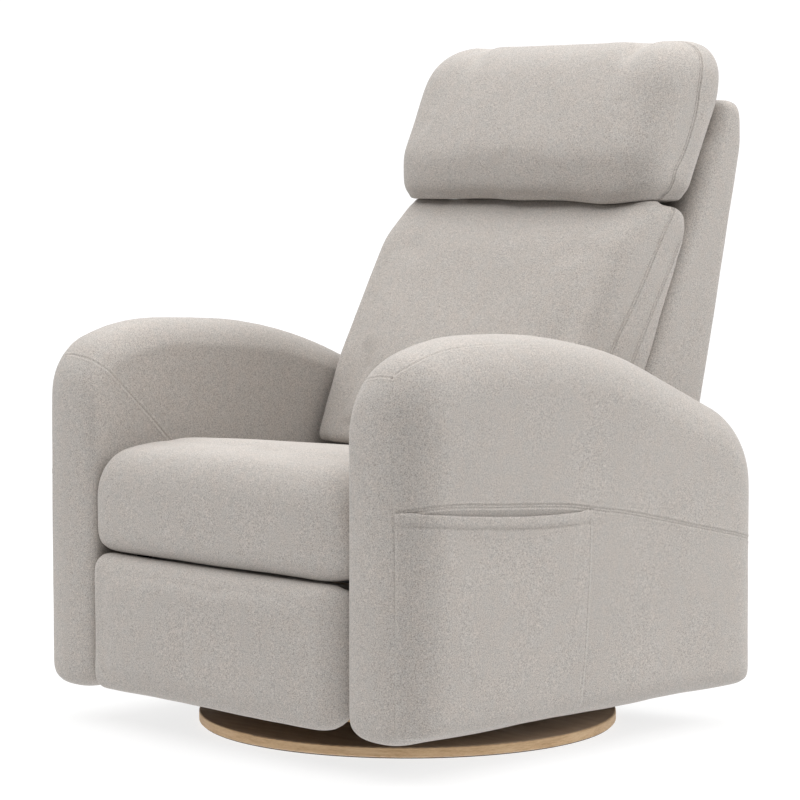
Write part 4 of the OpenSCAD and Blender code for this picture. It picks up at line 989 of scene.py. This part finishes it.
def coil(x, y):
    """A spring with flat end coils."""
    steps, sides = COIL_STEPS, WIRE_SIDES
    t = np.linspace(0, 1, steps + 1)
    turn = 2 * math.pi * SPRING_TURNS * t
    rise = SPRING_LOW + (SPRING_HIGH - SPRING_LOW) * np.clip((t - FLAT_SHARE) / RISING_SHARE, 0, 1)
    path = np.column_stack([x + SPRING_R * np.cos(turn), y + SPRING_R * np.sin(turn), rise])
    out = np.column_stack([np.cos(turn), np.sin(turn), 0 * turn])
    way = np.gradient(path, axis=0)
    way /= np.linalg.norm(way, axis=1)[:, None]
    up = np.cross(way, out)
    verts, faces = [], []
    for i in range(steps + 1):
        for k in range(sides):
            a = 2 * math.pi * k / sides
            verts.append(path[i] + WIRE_R * (math.cos(a) * out[i] + math.sin(a) * up[i]))
    for low in range(0, steps * sides, sides):
        for k in range(sides):
            m = (k + 1) % sides
            faces.append((low + k, low + sides + k, low + sides + m, low + m))
    faces.append(tuple(range(sides)))
    faces.append(tuple(steps * sides + k for k in range(sides - 1, -1, -1)))
    return verts, faces


verts, faces = [], []
for x in (-SPRING_AT, SPRING_AT):
    for y in (-SPRING_AT, SPRING_AT):
        more, rings = coil(x, y)
        faces += [tuple(len(verts) + i for i in f) for f in rings]
        verts += more
springs = new_object("bending_springs", verts, faces)
springs.data.materials.append(finish["spring_steel"])
smooth_shade(springs)
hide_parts("rocker_springs")
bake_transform(springs)

# Floor, light and camera
FLOOR_R, FLOOR_SIDES, FLOOR_GLOW = 3.2, 64, .79
WORLD_LIGHT, WORLD_SEEN = .06, 1.1
BOX_AIM = (0, 0, .5)
# Each soft box's name, place, width and power
SOFT_BOXES = (("left", (-3, -3, 2.5), 2.4, 40), ("right", (3, 3, 2.5), 2.4, 84), ("top", (0, 0, 3.6), 9, 500))
CAMERA_AT, CAMERA_AIM = (3.2154, -3.1840, .8518), (-.0082, -.0082, .4916)
CAMERA_LENS, CAMERA_SENSOR = 133.45, 36

angles = [a * 2 * math.pi / FLOOR_SIDES for a in range(FLOOR_SIDES)]
floor = new_object("floor", [(FLOOR_R * math.cos(a), FLOOR_R * math.sin(a), 0) for a in angles],
                   [tuple(range(FLOOR_SIDES))])
floor_finish = Nodes("pale_floor")
mottle = floor_finish.noise(FLOOR_MOTTLE)
floor_tone = floor_finish.ramp(mottle, (.3, (.2, .2, .2, 1)), (.7, (.22, .22, .22, 1)))
floor.data.materials.append(floor_finish.set(
    Base_Color=floor_tone, Roughness=.9, Emission_Color=(1, 1, 1, 1), Emission_Strength=FLOOR_GLOW))

# The world is white where the camera sees it and lights the chair only dimly
world = bpy.data.worlds.new("studio")
scene.world = world
world.use_nodes = True
tree = world.node_tree
background = tree.nodes["Background"]
background.inputs["Color"].default_value = (1, 1, 1, 1)
seen = tree.nodes.new("ShaderNodeLightPath")
level = tree.nodes.new("ShaderNodeMapRange")
level.inputs["To Min"].default_value = WORLD_LIGHT
level.inputs["To Max"].default_value = WORLD_SEEN
tree.links.new(seen.outputs["Is Camera Ray"], level.inputs["Value"])
tree.links.new(level.outputs["Result"], background.inputs["Strength"])


def soft_box(name, place, size, power):
    light = bpy.data.lights.new(name, "AREA")
    light.shape = "RECTANGLE"
    light.size = light.size_y = size
    light.energy = power
    obj = bpy.data.objects.new(name, light)
    scene.collection.objects.link(obj)
    obj.location = place
    obj.rotation_euler = (Vector(BOX_AIM) - Vector(place)).to_track_quat("-Z", "Y").to_euler()


for box in SOFT_BOXES:
    soft_box(*box)

scene.view_settings.view_transform = "Standard"
camera = bpy.data.cameras.new("camera")
camera.lens = CAMERA_LENS
camera.sensor_width = CAMERA_SENSOR
view = bpy.data.objects.new("camera", camera)
scene.collection.objects.link(view)
view.location = CAMERA_AT
view.rotation_euler = (Vector(CAMERA_AIM) - view.location).to_track_quat("-Z", "Y").to_euler()
scene.camera = view
